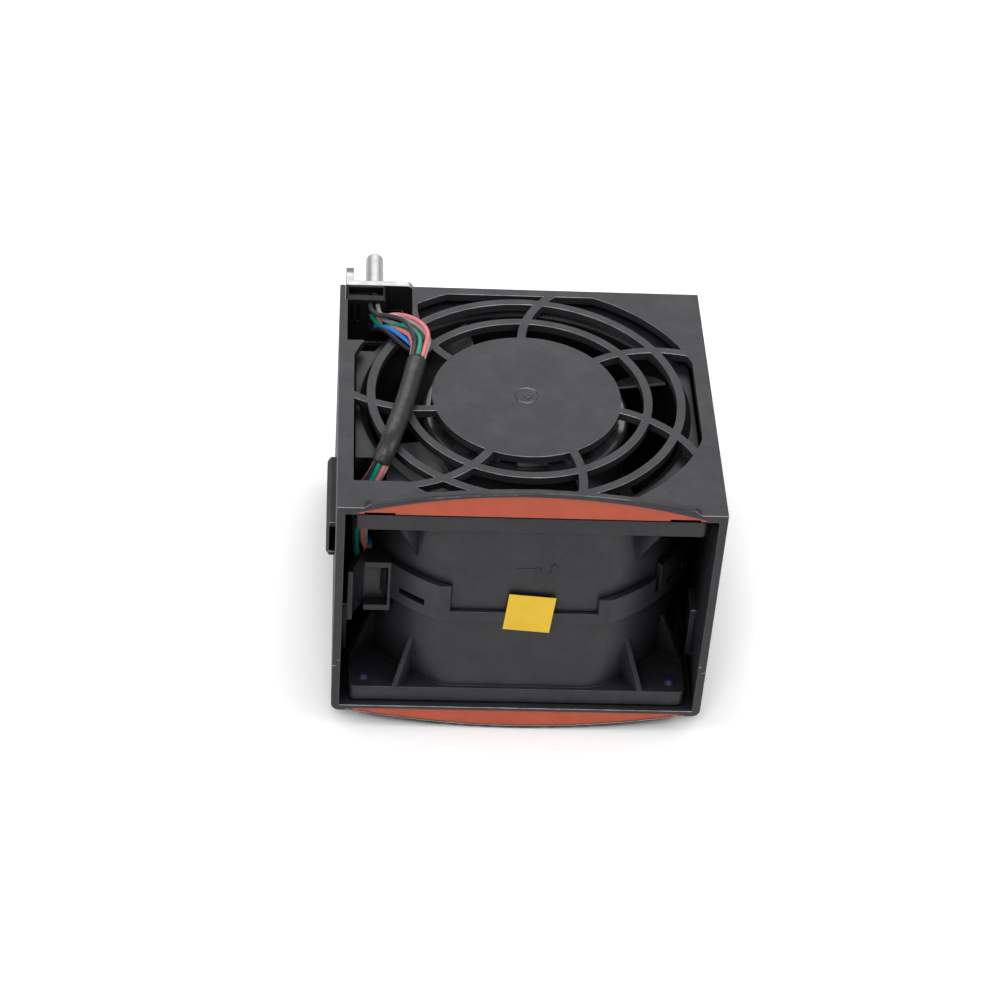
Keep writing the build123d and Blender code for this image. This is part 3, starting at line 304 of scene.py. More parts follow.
@dataclass(frozen=True)
class MetalFinish:
    """A bare metal surface, turned, ground, rolled or drawn."""

    name: str
    colour: str
    roughness: float = 0.3
    brushed_mm: float = 0.15
    along: tuple[float, float, float] = (1.0, 1.0, 1.0)
    edge_mm: float = 0.08

    def make(self) -> bpy.types.Material:
        """Builds the metal with fine tool lines and small stains."""
        material, tree, shader, coordinates = new_material(self.name)
        mapping = add_node(tree, "ShaderNodeMapping", {}, {"Vector": coordinates, "Scale": self.along})
        lines = add_node(tree, "ShaderNodeTexNoise", {}, {
            "Vector": mapping.outputs["Vector"], "Scale": 1 / (self.brushed_mm * MM), "Detail": 2.0})
        stains = add_node(tree, "ShaderNodeTexNoise", {}, {
            "Vector": coordinates, "Scale": 1 / (2.5 * MM), "Detail": 4.0})
        rough = add_node(tree, "ShaderNodeMapRange", {}, {
            "Value": stains.outputs["Fac"], "From Min": 0.3, "From Max": 0.7,
            "To Min": self.roughness - 0.05, "To Max": self.roughness + 0.08})
        tone = add_node(tree, "ShaderNodeMapRange", {}, {
            "Value": stains.outputs["Fac"], "From Min": 0.3, "From Max": 0.75, "To Min": 1.0, "To Max": 0.86})
        colour = add_node(tree, "ShaderNodeMix", {"data_type": "RGBA", "blend_type": "MULTIPLY"}, {
            "Factor": 1.0, "A": linear(self.colour), "B": tone.outputs["Result"]})
        edge = add_node(tree, "ShaderNodeBevel", {"samples": 4}, {"Radius": self.edge_mm * MM})
        bump = add_node(tree, "ShaderNodeBump", {}, {
            "Height": lines.outputs["Fac"], "Distance": 0.006 * MM, "Strength": 0.6,
            "Normal": edge.outputs["Normal"]})
        connect(tree, shader, {"Base Color": colour.outputs["Result"], "Roughness": rough.outputs["Result"],
                               "Normal": bump.outputs["Normal"]})
        shader.inputs["Metallic"].default_value = 1.0
        return material


@dataclass(frozen=True)
class SoftPolymer:
    """Rubber, vinyl sleeve or wire insulation: extruded or cast, a soft sheen and faint die lines."""

    name: str
    colour: str
    roughness: float = 0.45
    mottle_mm: float = 1.2
    bump_mm: float = 0.02
    variation: float = 0.12
    ior: float = 1.5

    def make(self) -> bpy.types.Material:
        """Builds the soft polymer with slight blotches and dents."""
        material, tree, shader, coordinates = new_material(self.name)
        mottle = add_node(tree, "ShaderNodeTexNoise", {}, {
            "Vector": coordinates, "Scale": 1 / (self.mottle_mm * MM), "Detail": 3.0})
        tone = add_node(tree, "ShaderNodeMapRange", {}, {
            "Value": mottle.outputs["Fac"], "From Min": 0.3, "From Max": 0.7,
            "To Min": 1 - self.variation, "To Max": 1.0})
        colour = add_node(tree, "ShaderNodeMix", {"data_type": "RGBA", "blend_type": "MULTIPLY"}, {
            "Factor": 1.0, "A": linear(self.colour), "B": tone.outputs["Result"]})
        rough = add_node(tree, "ShaderNodeMapRange", {}, {
            "Value": mottle.outputs["Fac"], "From Min": 0.3, "From Max": 0.7,
            "To Min": self.roughness - 0.06, "To Max": self.roughness + 0.08})
        bump = add_node(tree, "ShaderNodeBump", {}, {
            "Height": mottle.outputs["Fac"], "Distance": self.bump_mm * MM, "Strength": 0.7})
        connect(tree, shader, {"Base Color": colour.outputs["Result"], "Roughness": rough.outputs["Result"],
                               "Normal": bump.outputs["Normal"]})
        shader.inputs["IOR"].default_value = self.ior
        return material


@dataclass(frozen=True)
class LayeredStack:
    """Stamped steel sheets or wound wire: fine bands across one direction."""

    name: str
    colour: str
    band_colour: str
    band_mm: float
    metallic: float
    roughness: float

    def make(self) -> bpy.types.Material:
        """Builds bands square to the fan axis, one per sheet or turn."""
        material, tree, shader, coordinates = new_material(self.name)
        bands = add_node(tree, "ShaderNodeTexWave", {"bands_direction": "Z"}, {
            "Vector": coordinates, "Scale": 0.314 / (self.band_mm * MM), "Distortion": 0.4,
            "Detail": 1.0, "Detail Scale": 2.0})
        colour = add_node(tree, "ShaderNodeMix", {"data_type": "RGBA"}, {
            "Factor": bands.outputs["Fac"], "A": linear(self.band_colour), "B": linear(self.colour)})
        bump = add_node(tree, "ShaderNodeBump", {}, {
            "Height": bands.outputs["Fac"], "Distance": 0.08 * MM, "Strength": 0.8})
        connect(tree, shader, {"Base Color": colour.outputs["Result"], "Normal": bump.outputs["Normal"]})
        shader.inputs["Metallic"].default_value = self.metallic
        shader.inputs["Roughness"].default_value = self.roughness
        return material


def new_material(name: str) -> tuple[bpy.types.Material, bpy.types.NodeTree, bpy.types.Node,
                                     bpy.types.NodeSocket]:
    """Starts a node material.

    Args:
        name: what the real material is.

    Returns:
        The material, its tree, its shader and the Object coordinates.
    """
    material = bpy.data.materials.new(name)
    material.use_nodes = True
    tree = material.node_tree
    tree.nodes.clear()
    output = add_node(tree, "ShaderNodeOutputMaterial")
    shader = add_node(tree, "ShaderNodeBsdfPrincipled")
    tree.links.new(shader.outputs["BSDF"], output.inputs["Surface"])
    texture = add_node(tree, "ShaderNodeTexCoord")
    return material, tree, shader, texture.outputs["Object"]


def connect(tree: bpy.types.NodeTree, shader: bpy.types.Node, sockets: dict) -> None:
    """Feeds the shader's sockets.

    Args:
        tree: node tree of the material.
        shader: node that is fed.
        sockets: socket name to output socket.
    """
    for name, source in sockets.items():
        tree.links.new(source, shader.inputs[name])


@dataclass(frozen=True)
class Finishes:
    """Every finish on the module, each named for the real material."""

    # Glass-filled PBT from an eroded tool: matt, pebbled, grey where light grazes it; a white painted
    # highlight along its edges and painted shade in its recesses
    cage: MouldedPlastic = MouldedPlastic("cage_black_pbt", "2b2b2f", "333338", Grain.ERODED, 0.46,
                                          0.38, 0.022, 0.2, 0.3, 1.0, "ffffff", 9.0)
    # The same resin from a stoned tool: smoother and darker, with a grey painted highlight on its edges and
    # painted shade far into its recesses
    housing: MouldedPlastic = MouldedPlastic("housing_black_pbt", "26262a", "2f2f33", Grain.SATIN, 0.42,
                                             0.5, 0.010, 0.22, 0.2, 0.4, "8a8a90", 20.0)
    # Rotor resin from a polished tool: glossy, mirrors the sky, a faint grey painted highlight on its edges
    rotor: MouldedPlastic = MouldedPlastic("rotor_glossy_pbt", "2a2a2d", "2e2e32", Grain.POLISHED, 0.3,
                                           0.8, 0.004, 0.18, 0.0, 0.3, "8a8a90", 0.0, 1.0)
    # Orange ABS touch pads, satin
    pad: MouldedPlastic = MouldedPlastic("pad_orange_abs", "c05538", "b34d31", Grain.SATIN, 0.5,
                                         0.3, 0.012, 0.12, 0.1)
    # Plug body in smooth black nylon, a faint painted highlight on its edges and painted shade in its corners
    plug: MouldedPlastic = MouldedPlastic("plug_black_nylon", "0f0f11", "141416", Grain.POLISHED, 0.5,
                                          0.6, 0.006, 0.2, 0.0, 0.3, "8c8c90", 3.0, 0.3)
    # Black lacquer over steel sheet: satin faces, and steel painted on the faces that look up as a highlight
    lacquer: LacqueredSteel = LacqueredSteel("bracket_black_lacquer", "1a1a1d", "d2d2d4", 0.4)
    label: MouldedPlastic = MouldedPlastic("label_yellow_vinyl", "f6cb2c", "efc124", Grain.SATIN, 0.42,
                                           0.5, 0.004, 0.05, 0.0)
    board: MouldedPlastic = MouldedPlastic("board_green_laminate", "1f5a3a", "1a4e33", Grain.POLISHED, 0.3,
                                           0.4, 0.006, 0.05, 0.0)
    ferrite: MouldedPlastic = MouldedPlastic("magnet_bonded_ferrite", "38383a", "2f2f31", Grain.ERODED,
                                             0.6, 0.2, 0.02, 0.1, 0.0)
    pin: MetalFinish = MetalFinish("pin_turned_steel", "dededf", 0.46, 0.25, (1.0, 0.2, 1.0))
    contact: MetalFinish = MetalFinish("contact_gold_plate", "d8b868", 0.22, 0.1)
    yoke: MetalFinish = MetalFinish("yoke_drawn_steel", "a8a8aa", 0.38, 0.2, (0.4, 0.4, 1.0))
    shaft: MetalFinish = MetalFinish("shaft_ground_steel", "c8c8ca", 0.16, 0.1, (0.3, 0.3, 1.0))
    clip: MetalFinish = MetalFinish("clip_spring_steel", "77777a", 0.35)
    bearing: MetalFinish = MetalFinish("bearing_polished_steel", "bcbcbe", 0.2, 0.1)
    brass: MetalFinish = MetalFinish("tube_turned_brass", "c9a25a", 0.3, 0.12, (0.4, 0.4, 1.0))
    # Isolators in dark blue silicone
    isolator: SoftPolymer = SoftPolymer("isolator_blue_silicone", "0e1338", 0.55)
    # Sleeve in black shrink tube, slightly dented by the wires inside
    sleeve: SoftPolymer = SoftPolymer("sleeve_black_vinyl", "353537", 0.36, 1.5, 0.22, 0.25)
    stack: LayeredStack = LayeredStack("stator_stamped_steel", "8a8b8e", "3c3d40", 0.5, 1.0, 0.4)
    winding: LayeredStack = LayeredStack("winding_enamelled_copper", "b5652f", "4c2410", 0.35, 1.0, 0.3)

    def wires(self) -> dict[str, SoftPolymer]:
        """Insulation of each wire by node: PVC, coloured through, with a soft sheen."""
        codes = {"wire_red_a": "f4868a", "wire_red_b": "f08286", "wire_white": "cfccc2",
                 "wire_green": "0b9a7a", "wire_dark_grey": "3a3a3d", "wire_black": "19191b",
                 "wire_blue": "2284dc", "wire_grey": "8f8e8c"}
        return {node: SoftPolymer(node.replace("wire", "insulation"), code, 0.36, 0.9, 0.012, 0.1)
                for node, code in codes.items()}


def dress(node: str, material: bpy.types.Material, frame: dict) -> None:
    """Gives a CAD node its material.

    Args:
        node: name of the node.
        material: finish that it gets.
        frame: the loaded frame.
    """
    piece = frame["nodes"][node]
    if not piece.material_slots:
        piece.data.materials.append(material)
    for slot in piece.material_slots:
        slot.material = material
    LOG.info("dressed %s in %s", node, material.name)


@dataclass
class Cage:
    """The two shells of the hot-swap cage with their touch pads."""

    shells: Sequence[str] = ("upper_cage", "lower_cage")
    pads: Sequence[str] = ("upper_grip_pad", "lower_grip_pad")

    def build(self, frame: dict, finishes: Finishes) -> None:
        """Dresses the shells and the pads.

        Args:
            frame: the loaded frame.
            finishes: finishes of the module.
        """
        shell = finishes.cage.make()
        pad = finishes.pad.make()
        for node in self.shells:
            dress(node, shell, frame)
        for node in self.pads:
            dress(node, pad, frame)


@dataclass
class FanStack:
    """The two housings back to back, with isolators and motors."""

    housings: Sequence[str] = ("intake_housing", "exhaust_housing")
    isolators: Sequence[str] = ("upper_isolators", "lower_isolators")
    ends: Sequence[str] = ("intake", "exhaust")

    def build(self, frame: dict, finishes: Finishes) -> None:
        """Dresses housings, isolators, rotors and motors.

        Args:
            frame: the loaded frame.
            finishes: finishes of the module.
        """
        housing = finishes.housing.make()
        for node in self.housings:
            dress(node, housing, frame)
        silicone = finishes.isolator.make()
        for node in self.isolators:
            dress(node, silicone, frame)
        parts = {"impeller": finishes.rotor.make(), "yoke": finishes.yoke.make(),
                 "magnet": finishes.ferrite.make(), "shaft": finishes.shaft.make(),
                 "shaft_clip": finishes.clip.make(), "bearing_tube": finishes.brass.make(),
                 "bearings": finishes.bearing.make(), "spring_washer": finishes.clip.make(),
                 "stator_stack": finishes.stack.make(), "windings": finishes.winding.make(),
                 "circuit_board": finishes.board.make()}
        for end in self.ends:
            for part, material in parts.items():
                dress(f"{end}_{part}", material, frame)


@dataclass
class PlugCorner:
    """Bracket, guide pin, plug and contacts."""

    def build(self, frame: dict, finishes: Finishes) -> None:
        """Dresses the plug corner.

        Args:
            frame: the loaded frame.
            finishes: finishes of the module.
        """
        dress("connector_bracket", finishes.lacquer.make(), frame)
        dress("guide_pin", finishes.pin.make(), frame)
        dress("connector_housing", finishes.plug.make(), frame)
        dress("connector_contacts", finishes.contact.make(), frame)


def ordered_mesh(name: str, shape: bmesh.types.BMesh) -> bpy.types.Mesh:
    """Writes out a shape with points and faces ordered by place, since a bevel leaves another order each run.

    Args:
        name: name of the mesh.
        shape: the shape, with no two corners in one place.

    Returns:
        The mesh.
    """
    places = {vert: tuple(round(value, PLACE_DIGITS) for value in vert.co) for vert in shape.verts}
    points = sorted(places.values())
    numbers = {point: number for number, point in enumerate(points)}
    faces = []
    for face in shape.faces:
        ring = [numbers[places[vert]] for vert in face.verts]
        first = ring.index(min(ring))
        faces.append(ring[first:] + ring[:first])
    mesh = bpy.data.meshes.new(name)
    mesh.from_pydata(points, [], sorted(faces))
    return mesh


@dataclass
class MouldedDetail:
    """Small moulded shapes on the housings that ride with the cage."""

    liner_left_mm: float = -28.6
    liner_right_mm: float = -23.6
    liner_front_mm: float = -22.3
    liner_depth_mm: float = 0.5
    liner_low_mm: float = 19.0
    liner_high_mm: float = 28.0
    liner_soft_mm: float = 0.08
    barrel_flat_mm: float = -29.3
    shaft_half_mm: float = 0.22
    head_half_mm: float = 0.75
    head_mm: float = 1.0
    mark_soft_mm: float = 0.04
    mark_proud_mm: float = 0.12
    hub_top_mm: float = 47.7
    stub_radius_mm: float = 0.7
    stub_offset_mm: float = 0.25
    stub_sides: int = 24

    def solid(self, name: str, outline: Sequence[tuple[float, float]], plane: Matrix, depth_mm: float,
              soft_mm: float, material: bpy.types.Material) -> bpy.types.Object:
        """Raises an outline into a solid with softened edges.

        Args:
            name: name of the object.
            outline: points in millimetres in the plane.
            plane: matrix of the plane, whose Z is the way it is raised.
            depth_mm: height of the solid.
            soft_mm: width of the softened edges.
            material: its finish.

        Returns:
            The solid, riding on the cage.
        """
        shape = bmesh.new()
        ring = [shape.verts.new((x * MM, y * MM, 0.0)) for x, y in outline]
        face = shape.faces.new(ring)
        raised = bmesh.ops.extrude_face_region(shape, geom=[face])
        top = [item for item in raised["geom"] if isinstance(item, bmesh.types.BMVert)]
        bmesh.ops.translate(shape, verts=top, vec=(0.0, 0.0, depth_mm * MM))
        bmesh.ops.recalc_face_normals(shape, faces=shape.faces)
        bmesh.ops.bevel(shape, geom=list(shape.edges), offset=soft_mm * MM, affect="EDGES", segments=2,
                        profile=0.5, material=-1)
        bmesh.ops.transform(shape, matrix=plane, verts=shape.verts)
        mesh = ordered_mesh(name, shape)
        shape.free()
        mesh.materials.append(material)
        piece = bpy.data.objects.new(name, mesh)
        bpy.context.scene.collection.objects.link(piece)
        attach(piece, "cage")
        return piece

    def arrow(self, x: float, z: float, length: float, turn: float) -> list[tuple[float, float]]:
        """Outline of a plain flow arrow round a centre, in the front plane.

        Args:
            x: centre across, in millimetres.
            z: centre up, in millimetres.
            length: length from tail to tip.
            turn: turn of the arrow, in radians.

        Returns:
            Points of the outline.
        """
        half = length / 2
        neck = half - self.head_mm
        below = [(-half, -self.shaft_half_mm), (neck, -self.shaft_half_mm), (neck, -self.head_half_mm)]
        plain = below + [(half, 0.0)] + [(u, -v) for u, v in reversed(below)]
        return [(x + u * math.cos(turn) - v * math.sin(turn), z + u * math.sin(turn) + v * math.cos(turn))
                for u, v in plain]

    def build_hub_mark(self, frame: dict) -> None:
        """Leaves the round stub of the mould's gate inside the hub's centre ring."""
        shell = frame["nodes"]["upper_cage"].material_slots[0].material
        top = Matrix.Translation((0.0, 0.0, self.hub_top_mm * MM))
        turns = [math.tau * index / self.stub_sides for index in range(self.stub_sides)]
        outline = [(self.stub_offset_mm + self.stub_radius_mm * math.cos(turn),
                    self.stub_radius_mm * math.sin(turn)) for turn in turns]
        self.solid("gate_stub", outline, top, self.mark_proud_mm, self.mark_soft_mm, shell)

    def build(self, frame: dict, finishes: Finishes) -> None:
        """Builds the smooth back of the wire guard and the raised flow arrows.

        Args:
            frame: the loaded frame.
            finishes: not used.
        """
        material = frame["nodes"]["exhaust_housing"].material_slots[0].material
        outline = [(self.liner_left_mm, self.liner_front_mm), (self.liner_right_mm, self.liner_front_mm),
                   (self.liner_right_mm, self.liner_front_mm + self.liner_depth_mm),
                   (self.liner_left_mm, self.liner_front_mm + self.liner_depth_mm)]
        base = Matrix.Translation((0.0, 0.0, self.liner_low_mm * MM))
        self.solid("guard_back", outline, base, self.liner_high_mm - self.liner_low_mm,
                   self.liner_soft_mm, material)
        front = Matrix.Translation((0.0, self.barrel_flat_mm * MM, 0.0)) @ Matrix.Rotation(
            math.pi / 2, 4, "X")
        intake = frame["nodes"]["intake_housing"].material_slots[0].material
        self.build_hub_mark(frame)
        spots = {"flow_arrow": (0.3, 33.0, 4.4, 0.0), "turn_arrow": (4.4, 33.2, 2.6, math.pi / 2.4)}
        for name, spot in spots.items():
            self.solid(name, self.arrow(*spot), front, self.mark_proud_mm, self.mark_soft_mm, intake)


@dataclass(frozen=True)
class Wire:
    """One insulated wire: its lane in the bundle, its motor and its own way to the plug."""

    node: str
    lane: int
    intake: bool
    length_mm: float
    tail: tuple[Point, ...]


WIRES = (
    Wire("wire_grey", 0, True, 93.3, (
        (-18.36, 13.08, 49.01), (-20.17, 16.51, 48.87), (-23.32, 20.01, 47.72), (-25.85, 23.2, 46.1),
        (-26.15, 27.9, 46.35))),
    Wire("wire_blue", 1, True, 91.3, (
        (-19.9, 12.69, 48.25), (-22.4, 15.4, 48.8), (-25.0, 18.7, 48.0), (-26.6, 22.9, 43.2),
        (-26.15, 27.9, 42.75))),
    Wire("wire_red_a", 3, True, 93.3, (
        (-17.0, 13.12, 50.74), (-18.6, 16.9, 50.66), (-22.4, 20.6, 49.4), (-25.7, 23.2, 46.3),
        (-26.15, 27.9, 45.15))),
    Wire("wire_white", 2, False, 99.9, (
        (-16.84, 13.31, 49.42), (-18.6, 17.12, 49.52), (-22.65, 20.3, 49.3), (-26.6, 23.4, 46.3),
        (-27.45, 27.9, 45.15))),
    Wire("wire_green", 4, False, 101.5, (
        (-18.75, 13.18, 50.23), (-20.9, 16.6, 49.8), (-23.4, 19.7, 47.4), (-26.0, 22.9, 44.2),
        (-27.45, 27.9, 43.95))),
    Wire("wire_dark_grey", 5, False, 99.9, (
        (-20.03, 13.02, 50.9), (-21.13, 16.55, 50.9), (-23.69, 19.81, 49.4), (-27.5, 22.9, 47.3),
        (-27.45, 27.9, 46.35))),
    Wire("wire_red_b", 6, False, 96.4, (
        (-20.14, 12.99, 49.97), (-21.64, 16.02, 49.05), (-23.83, 19.26, 47.16), (-25.71, 23.2, 44.0),
        (-26.15, 27.9, 43.95))),
    Wire("wire_black", 7, True, 91.8, (
        (-21.57, 12.4, 48.25), (-23.59, 15.22, 48.38), (-25.75, 18.38, 47.85), (-27.47, 23.2, 42.72),
        (-27.45, 27.9, 42.75))),
)


@dataclass
class Harness:
    """Eight insulated wires from both motors' boards to the plug, and the sleeve round them."""

    gate_angle: float = math.radians(211.5)
    board_mm: float = 12.2
    elbow_mm: float = 31.0
    column_mm: float = 33.8
    rise_mm: float = 2.8
    column_top_mm: float = 39.3
    intake_level_mm: float = 25.2
    exhaust_level_mm: float = 21.79
    lane_mm: float = 1.03
    lane_turn: float = math.radians(-5.323)
    wire_mm: float = 0.86
    sleeve_mm: float = 3.34
    sleeve_wall_mm: float = 0.15
    sleeve_start_mm: float = 2.7
    sleeve_end_mm: float = 3.2
    sleeve_swell: tuple[float, ...] = (1.03, 1.0, 1.04, 0.97, 1.05)
    trunk: tuple[Point, ...] = ((-26.3, -19.1, 45.0), (-24.6, -17.3, 49.5), (-22.8, -10.4, 49.55),
                                (-20.9, -2.0, 49.6), (-18.8, 9.8, 49.5))

    def at_gate(self, reach: float, height: float) -> Vector:
        """Point at a distance from the fan axis in the wire gate's direction, in millimetres."""
        return Vector((reach * math.cos(self.gate_angle), reach * math.sin(self.gate_angle), height))

    def bundle(self, intake: bool) -> list[Vector]:
        """Centre line of the bundle, in millimetres, from a board to the sleeve's mouth."""
        height = self.intake_level_mm if intake else self.exhaust_level_mm
        way = [self.at_gate(self.board_mm, height), self.at_gate(self.elbow_mm, height),
               self.at_gate(self.column_mm, height + self.rise_mm),
               self.at_gate(self.column_mm, self.column_top_mm)]
        return way + [Vector(point) for point in self.trunk]

    def lane_start(self, lane: int) -> Vector:
        """Place of a lane in the bundle's section at the board."""
        if lane == 0:
            return Vector((0.0, 0.0, 0.0))
        angle = self.lane_turn + (lane - 1) * math.tau / 7
        across = self.lane_mm * math.sin(angle)
        return Vector((-across * math.sin(self.gate_angle), across * math.cos(self.gate_angle),
                       self.lane_mm * math.cos(angle)))

    def route(self, wire: Wire) -> list[Vector]:
        """Points of one wire, in millimetres: its lane beside the bundle's line, then its own tail.

        Args:
            wire: the wire.

        Returns:
            Points from the board to the socket.
        """
        points = self.bundle(wire.intake)
        offset = self.lane_start(wire.lane)
        way = [points[0] + offset]
        for before, corner, after in zip(points, points[1:], points[2:]):
            way_in = (corner - before).normalized()
            way_out = (after - corner).normalized()
            crease = (way_in + way_out).normalized()
            shift = offset - way_in * (offset.dot(crease) / way_in.dot(crease))
            way.append(corner + shift)
            offset = shift - way_out * shift.dot(way_out)
        return way + [points[-1] + offset] + [Vector(point) for point in wire.tail]

    def spline(self, name: str, points: Sequence[Vector], thickness_mm: float,
               material: bpy.types.Material) -> bpy.types.Object:
        """Makes a round cord along control points.

        Args:
            name: name of the object.
            points: control points in millimetres.
            thickness_mm: diameter in millimetres.
            material: its finish.

        Returns:
            The curve object, riding on the cage.
        """
        curve = bpy.data.curves.new(name, "CURVE")
        curve.dimensions = "3D"
        curve.bevel_depth = thickness_mm * MM / 2
        curve.bevel_resolution = 5
        curve.resolution_u = 14
        line = curve.splines.new("NURBS")
        line.points.add(len(points) - 1)
        for slot, point in zip(line.points, points):
            slot.co = (point.x * MM, point.y * MM, point.z * MM, 1.0)
        line.order_u = 3
        line.use_endpoint_u = True
        curve.materials.append(material)
        piece = bpy.data.objects.new(name, curve)
        bpy.context.scene.collection.objects.link(piece)
        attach(piece, "cage")
        return piece

    def build_sleeve(self, material: bpy.types.Material) -> None:
        """Makes the sleeve: an open tube over the bundle, its wall turned inwards.

        Args:
            material: its finish.
        """
        trunk = [Vector(point) for point in self.trunk]
        first = trunk[1] + (trunk[0] - trunk[1]).normalized() * self.sleeve_start_mm
        last = trunk[-1] + (trunk[-2] - trunk[-1]).normalized() * self.sleeve_end_mm
        course = self.spline("sleeve_course", [first, *trunk[1:-1], last], self.sleeve_mm, material)
        for slot, swell in zip(course.data.splines[0].points, self.sleeve_swell):
            slot.radius = swell
        mesh = bpy.data.meshes.new_from_object(course)
        bpy.data.objects.remove(course)
        mesh.name = "sleeve_tube"
        for face in mesh.polygons:
            face.use_smooth = True
        sleeve = bpy.data.objects.new("sleeve_tube", mesh)
        bpy.context.scene.collection.objects.link(sleeve)
        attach(sleeve, "cage")
        wall = sleeve.modifiers.new("wall", "SOLIDIFY")
        wall.thickness = self.sleeve_wall_mm * MM
        wall.offset = -1.0
        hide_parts("harness_sleeve")

    def build(self, frame: dict, finishes: Finishes) -> None:
        """Builds wires and sleeve.

        Args:
            frame: not used.
            finishes: finishes of the module.
        """
        coats = finishes.wires()
        for wire in WIRES:
            points = self.route(wire)
            piece = self.spline(wire.node.replace("wire", "strand"), points, self.wire_mm,
                                coats[wire.node].make())
            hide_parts(wire.node)
        self.build_sleeve(finishes.sleeve.make())


@dataclass
class Sticker:
    """Plain square sticker on the collar."""

    def build(self, frame: dict, finishes: Finishes) -> None:
        """Dresses the sticker.

        Args:
            frame: the loaded frame.
            finishes: finishes of the module.
        """
        dress("yellow_label", finishes.label.make(), frame)


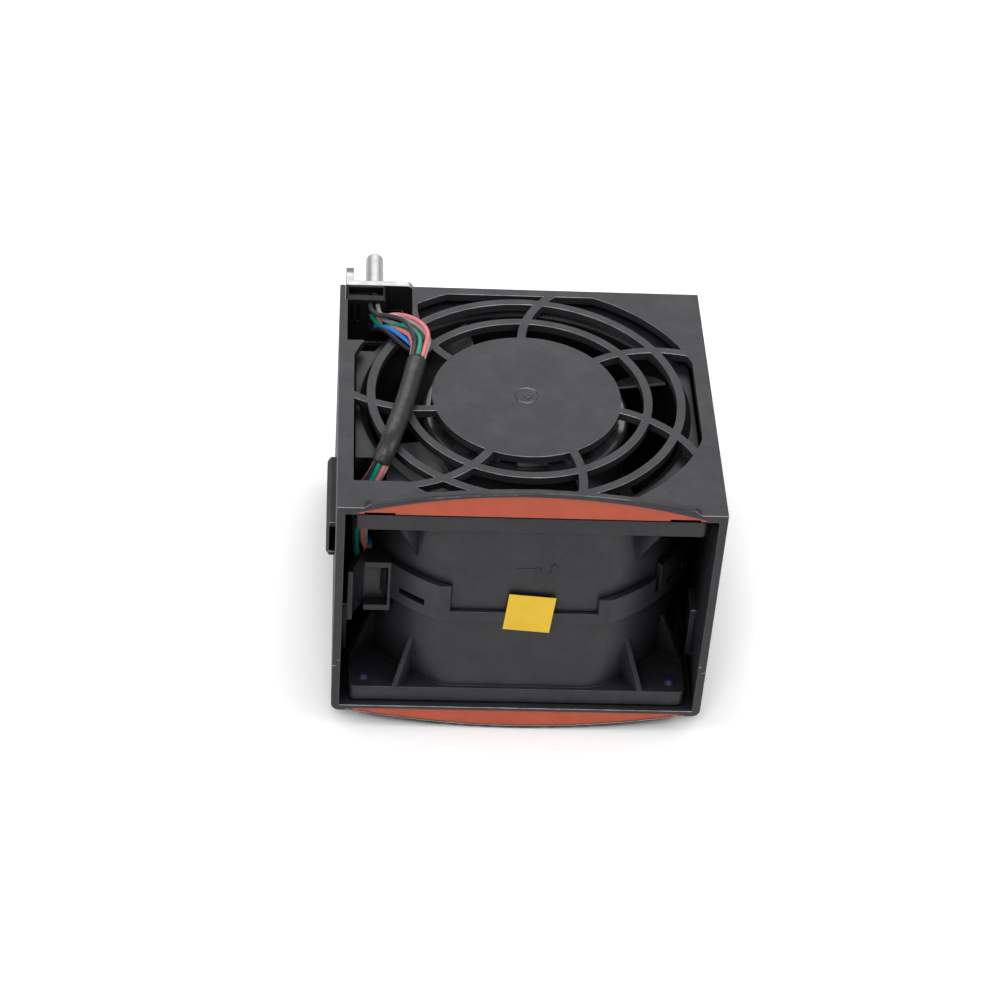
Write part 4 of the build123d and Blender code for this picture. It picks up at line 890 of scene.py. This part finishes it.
@dataclass
class Studio:
    """Pale floor, soft lamps and the camera."""

    lip_low: Vector = field(default_factory=lambda: Vector((0.0, -30.4, -4.0)) * MM)
    heel: Vector = field(default_factory=lambda: Vector((0.0, 31.1, 0.0)) * MM)
    floor_side: float = 3.0
    camera_place: Vector = field(default_factory=lambda: Vector((-37.09, -392.15, 362.37)) * MM)
    camera_turn: tuple[float, float, float] = (0.8581, -0.061, -0.0336)
    focal_mm: float = 103.08
    sensor_mm: float = 36.0
    shadow_mm: float = 20
    sky_strength: float = 0.3
    softboxes: tuple[tuple[str, Point, tuple[float, float], float], ...] = (
        ("softbox_back", (0.0, 800.0, 620.0), (900.0, 400.0), 2.6),
        ("softbox_front", (-150.0, -700.0, 900.0), (500.0, 350.0), 5.0),
        ("softbox_left", (-650.0, -150.0, 480.0), (300.0, 600.0), 1.8),
        ("softbox_right", (650.0, -150.0, 480.0), (300.0, 600.0), 1.8))

    def floor_matrix(self) -> Matrix:
        """Places the floor under the lip and the heel, on which the module really lies."""
        way = self.heel - self.lip_low
        tilt = math.atan2(way.z, way.y)
        return Matrix.Translation(self.lip_low) @ Matrix.Rotation(tilt, 4, "X")

    def floor_material(self) -> bpy.types.Material:
        """White paper sweep: it shows white, takes the module's shadow, gets a painted contact shadow where
        its white lift fades near the module, and hides nothing from below.
        """
        material, tree, shader, _ = new_material("paper_white_sweep")
        shader.inputs["Base Color"].default_value = linear("f4f4f4")
        shader.inputs["Roughness"].default_value = 0.9
        rays = add_node(tree, "ShaderNodeLightPath")
        # Painted contact shadow: the white lift fades where ambient occlusion finds the module near
        open_sky = add_node(tree, "ShaderNodeAmbientOcclusion", {"samples": 8}, {
            "Distance": self.shadow_mm * MM})
        shade = add_node(tree, "ShaderNodeMapRange", {}, {
            "Value": open_sky.outputs["AO"], "From Min": 0.4, "From Max": 1.0, "To Min": 0.0, "To Max": 0.42})
        lift = add_node(tree, "ShaderNodeMath", {"operation": "MULTIPLY"}, {
            0: rays.outputs["Is Camera Ray"], 1: shade.outputs["Result"]})
        shader.inputs["Emission Color"].default_value = (1.0, 1.0, 1.0, 1.0)
        tree.links.new(lift.outputs["Value"], shader.inputs["Emission Strength"])
        below = add_node(tree, "ShaderNodeNewGeometry")
        see_through = add_node(tree, "ShaderNodeMath", {"operation": "MULTIPLY"}, {
            0: below.outputs["Backfacing"], 1: rays.outputs["Is Camera Ray"]})
        open_side = add_node(tree, "ShaderNodeBsdfTransparent")
        both = add_node(tree, "ShaderNodeMixShader", {}, {
            0: see_through.outputs["Value"], 1: shader.outputs["BSDF"], 2: open_side.outputs["BSDF"]})
        output = next(node for node in tree.nodes if node.type == "OUTPUT_MATERIAL")
        tree.links.new(both.outputs["Shader"], output.inputs["Surface"])
        return material

    def build_floor(self) -> None:
        """Makes the floor."""
        mesh = bpy.data.meshes.new("studio_floor")
        shape = bmesh.new()
        bmesh.ops.create_grid(shape, x_segments=1, y_segments=1, size=self.floor_side / 2)
        bmesh.ops.transform(shape, matrix=self.floor_matrix(), verts=shape.verts)
        shape.to_mesh(mesh)
        shape.free()
        mesh.materials.append(self.floor_material())
        floor = bpy.data.objects.new("studio_floor", mesh)
        bpy.context.scene.collection.objects.link(floor)

    def add_softbox(self, name: str, place_mm: Point, size_mm: tuple[float, float], power: float) -> None:
        """Hangs one rectangular softbox that points at the module.

        Args:
            name: name of the lamp.
            place_mm: where it hangs, in millimetres.
            size_mm: width and height, in millimetres.
            power: power in watts.
        """
        lamp = bpy.data.lights.new(name, "AREA")
        lamp.shape = "RECTANGLE"
        lamp.size = size_mm[0] * MM
        lamp.size_y = size_mm[1] * MM
        lamp.energy = power
        holder = bpy.data.objects.new(name, lamp)
        holder.location = Vector(place_mm) * MM
        aim = Vector((0.0, 0.0, 0.02)) - holder.location
        holder.rotation_euler = aim.to_track_quat("-Z", "Y").to_euler()
        bpy.context.scene.collection.objects.link(holder)

    def build_light(self) -> None:
        """Sets the world and hangs the softboxes."""
        world = bpy.data.worlds.new("studio_world")
        world.use_nodes = True
        tree = world.node_tree
        tree.nodes.clear()
        rays = add_node(tree, "ShaderNodeLightPath")
        seen = add_node(tree, "ShaderNodeMath", {"operation": "MAXIMUM"}, {
            0: rays.outputs["Is Camera Ray"], 1: rays.outputs["Is Transmission Ray"]})
        strength = add_node(tree, "ShaderNodeMapRange", {}, {
            "Value": seen.outputs["Value"], "To Min": self.sky_strength, "To Max": 1.0})
        sky = add_node(tree, "ShaderNodeBackground", {}, {
            "Color": (1.0, 1.0, 1.0, 1.0), "Strength": strength.outputs["Result"]})
        output = add_node(tree, "ShaderNodeOutputWorld")
        tree.links.new(sky.outputs["Background"], output.inputs["Surface"])
        bpy.context.scene.world = world
        for softbox in self.softboxes:
            self.add_softbox(*softbox)

    def build_camera(self) -> None:
        """Sets the camera where the photographer stood."""
        data = bpy.data.cameras.new("studio_camera")
        data.lens = self.focal_mm
        data.sensor_width = self.sensor_mm
        data.clip_start = 0.01
        data.clip_end = 10.0
        camera = bpy.data.objects.new("studio_camera", data)
        camera.location = self.camera_place
        camera.rotation_euler = self.camera_turn
        bpy.context.scene.collection.objects.link(camera)
        bpy.context.scene.camera = camera

    def build(self) -> None:
        """Builds floor, light and camera."""
        self.build_camera()
        self.build_floor()
        self.build_light()
        bpy.context.scene.view_settings.view_transform = "Standard"


def main() -> None:
    """Builds the dressed module and its studio."""
    logging.basicConfig(level=logging.INFO, format="%(name)s: %(message)s")
    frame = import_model()
    finishes = Finishes()
    Studio().build()
    for part in (Cage(), FanStack(), MouldedDetail(), PlugCorner(), Harness(), Sticker()):
        part.build(frame, finishes)
        LOG.info("built %s", type(part).__name__)


if __name__ == "__main__":
    main()
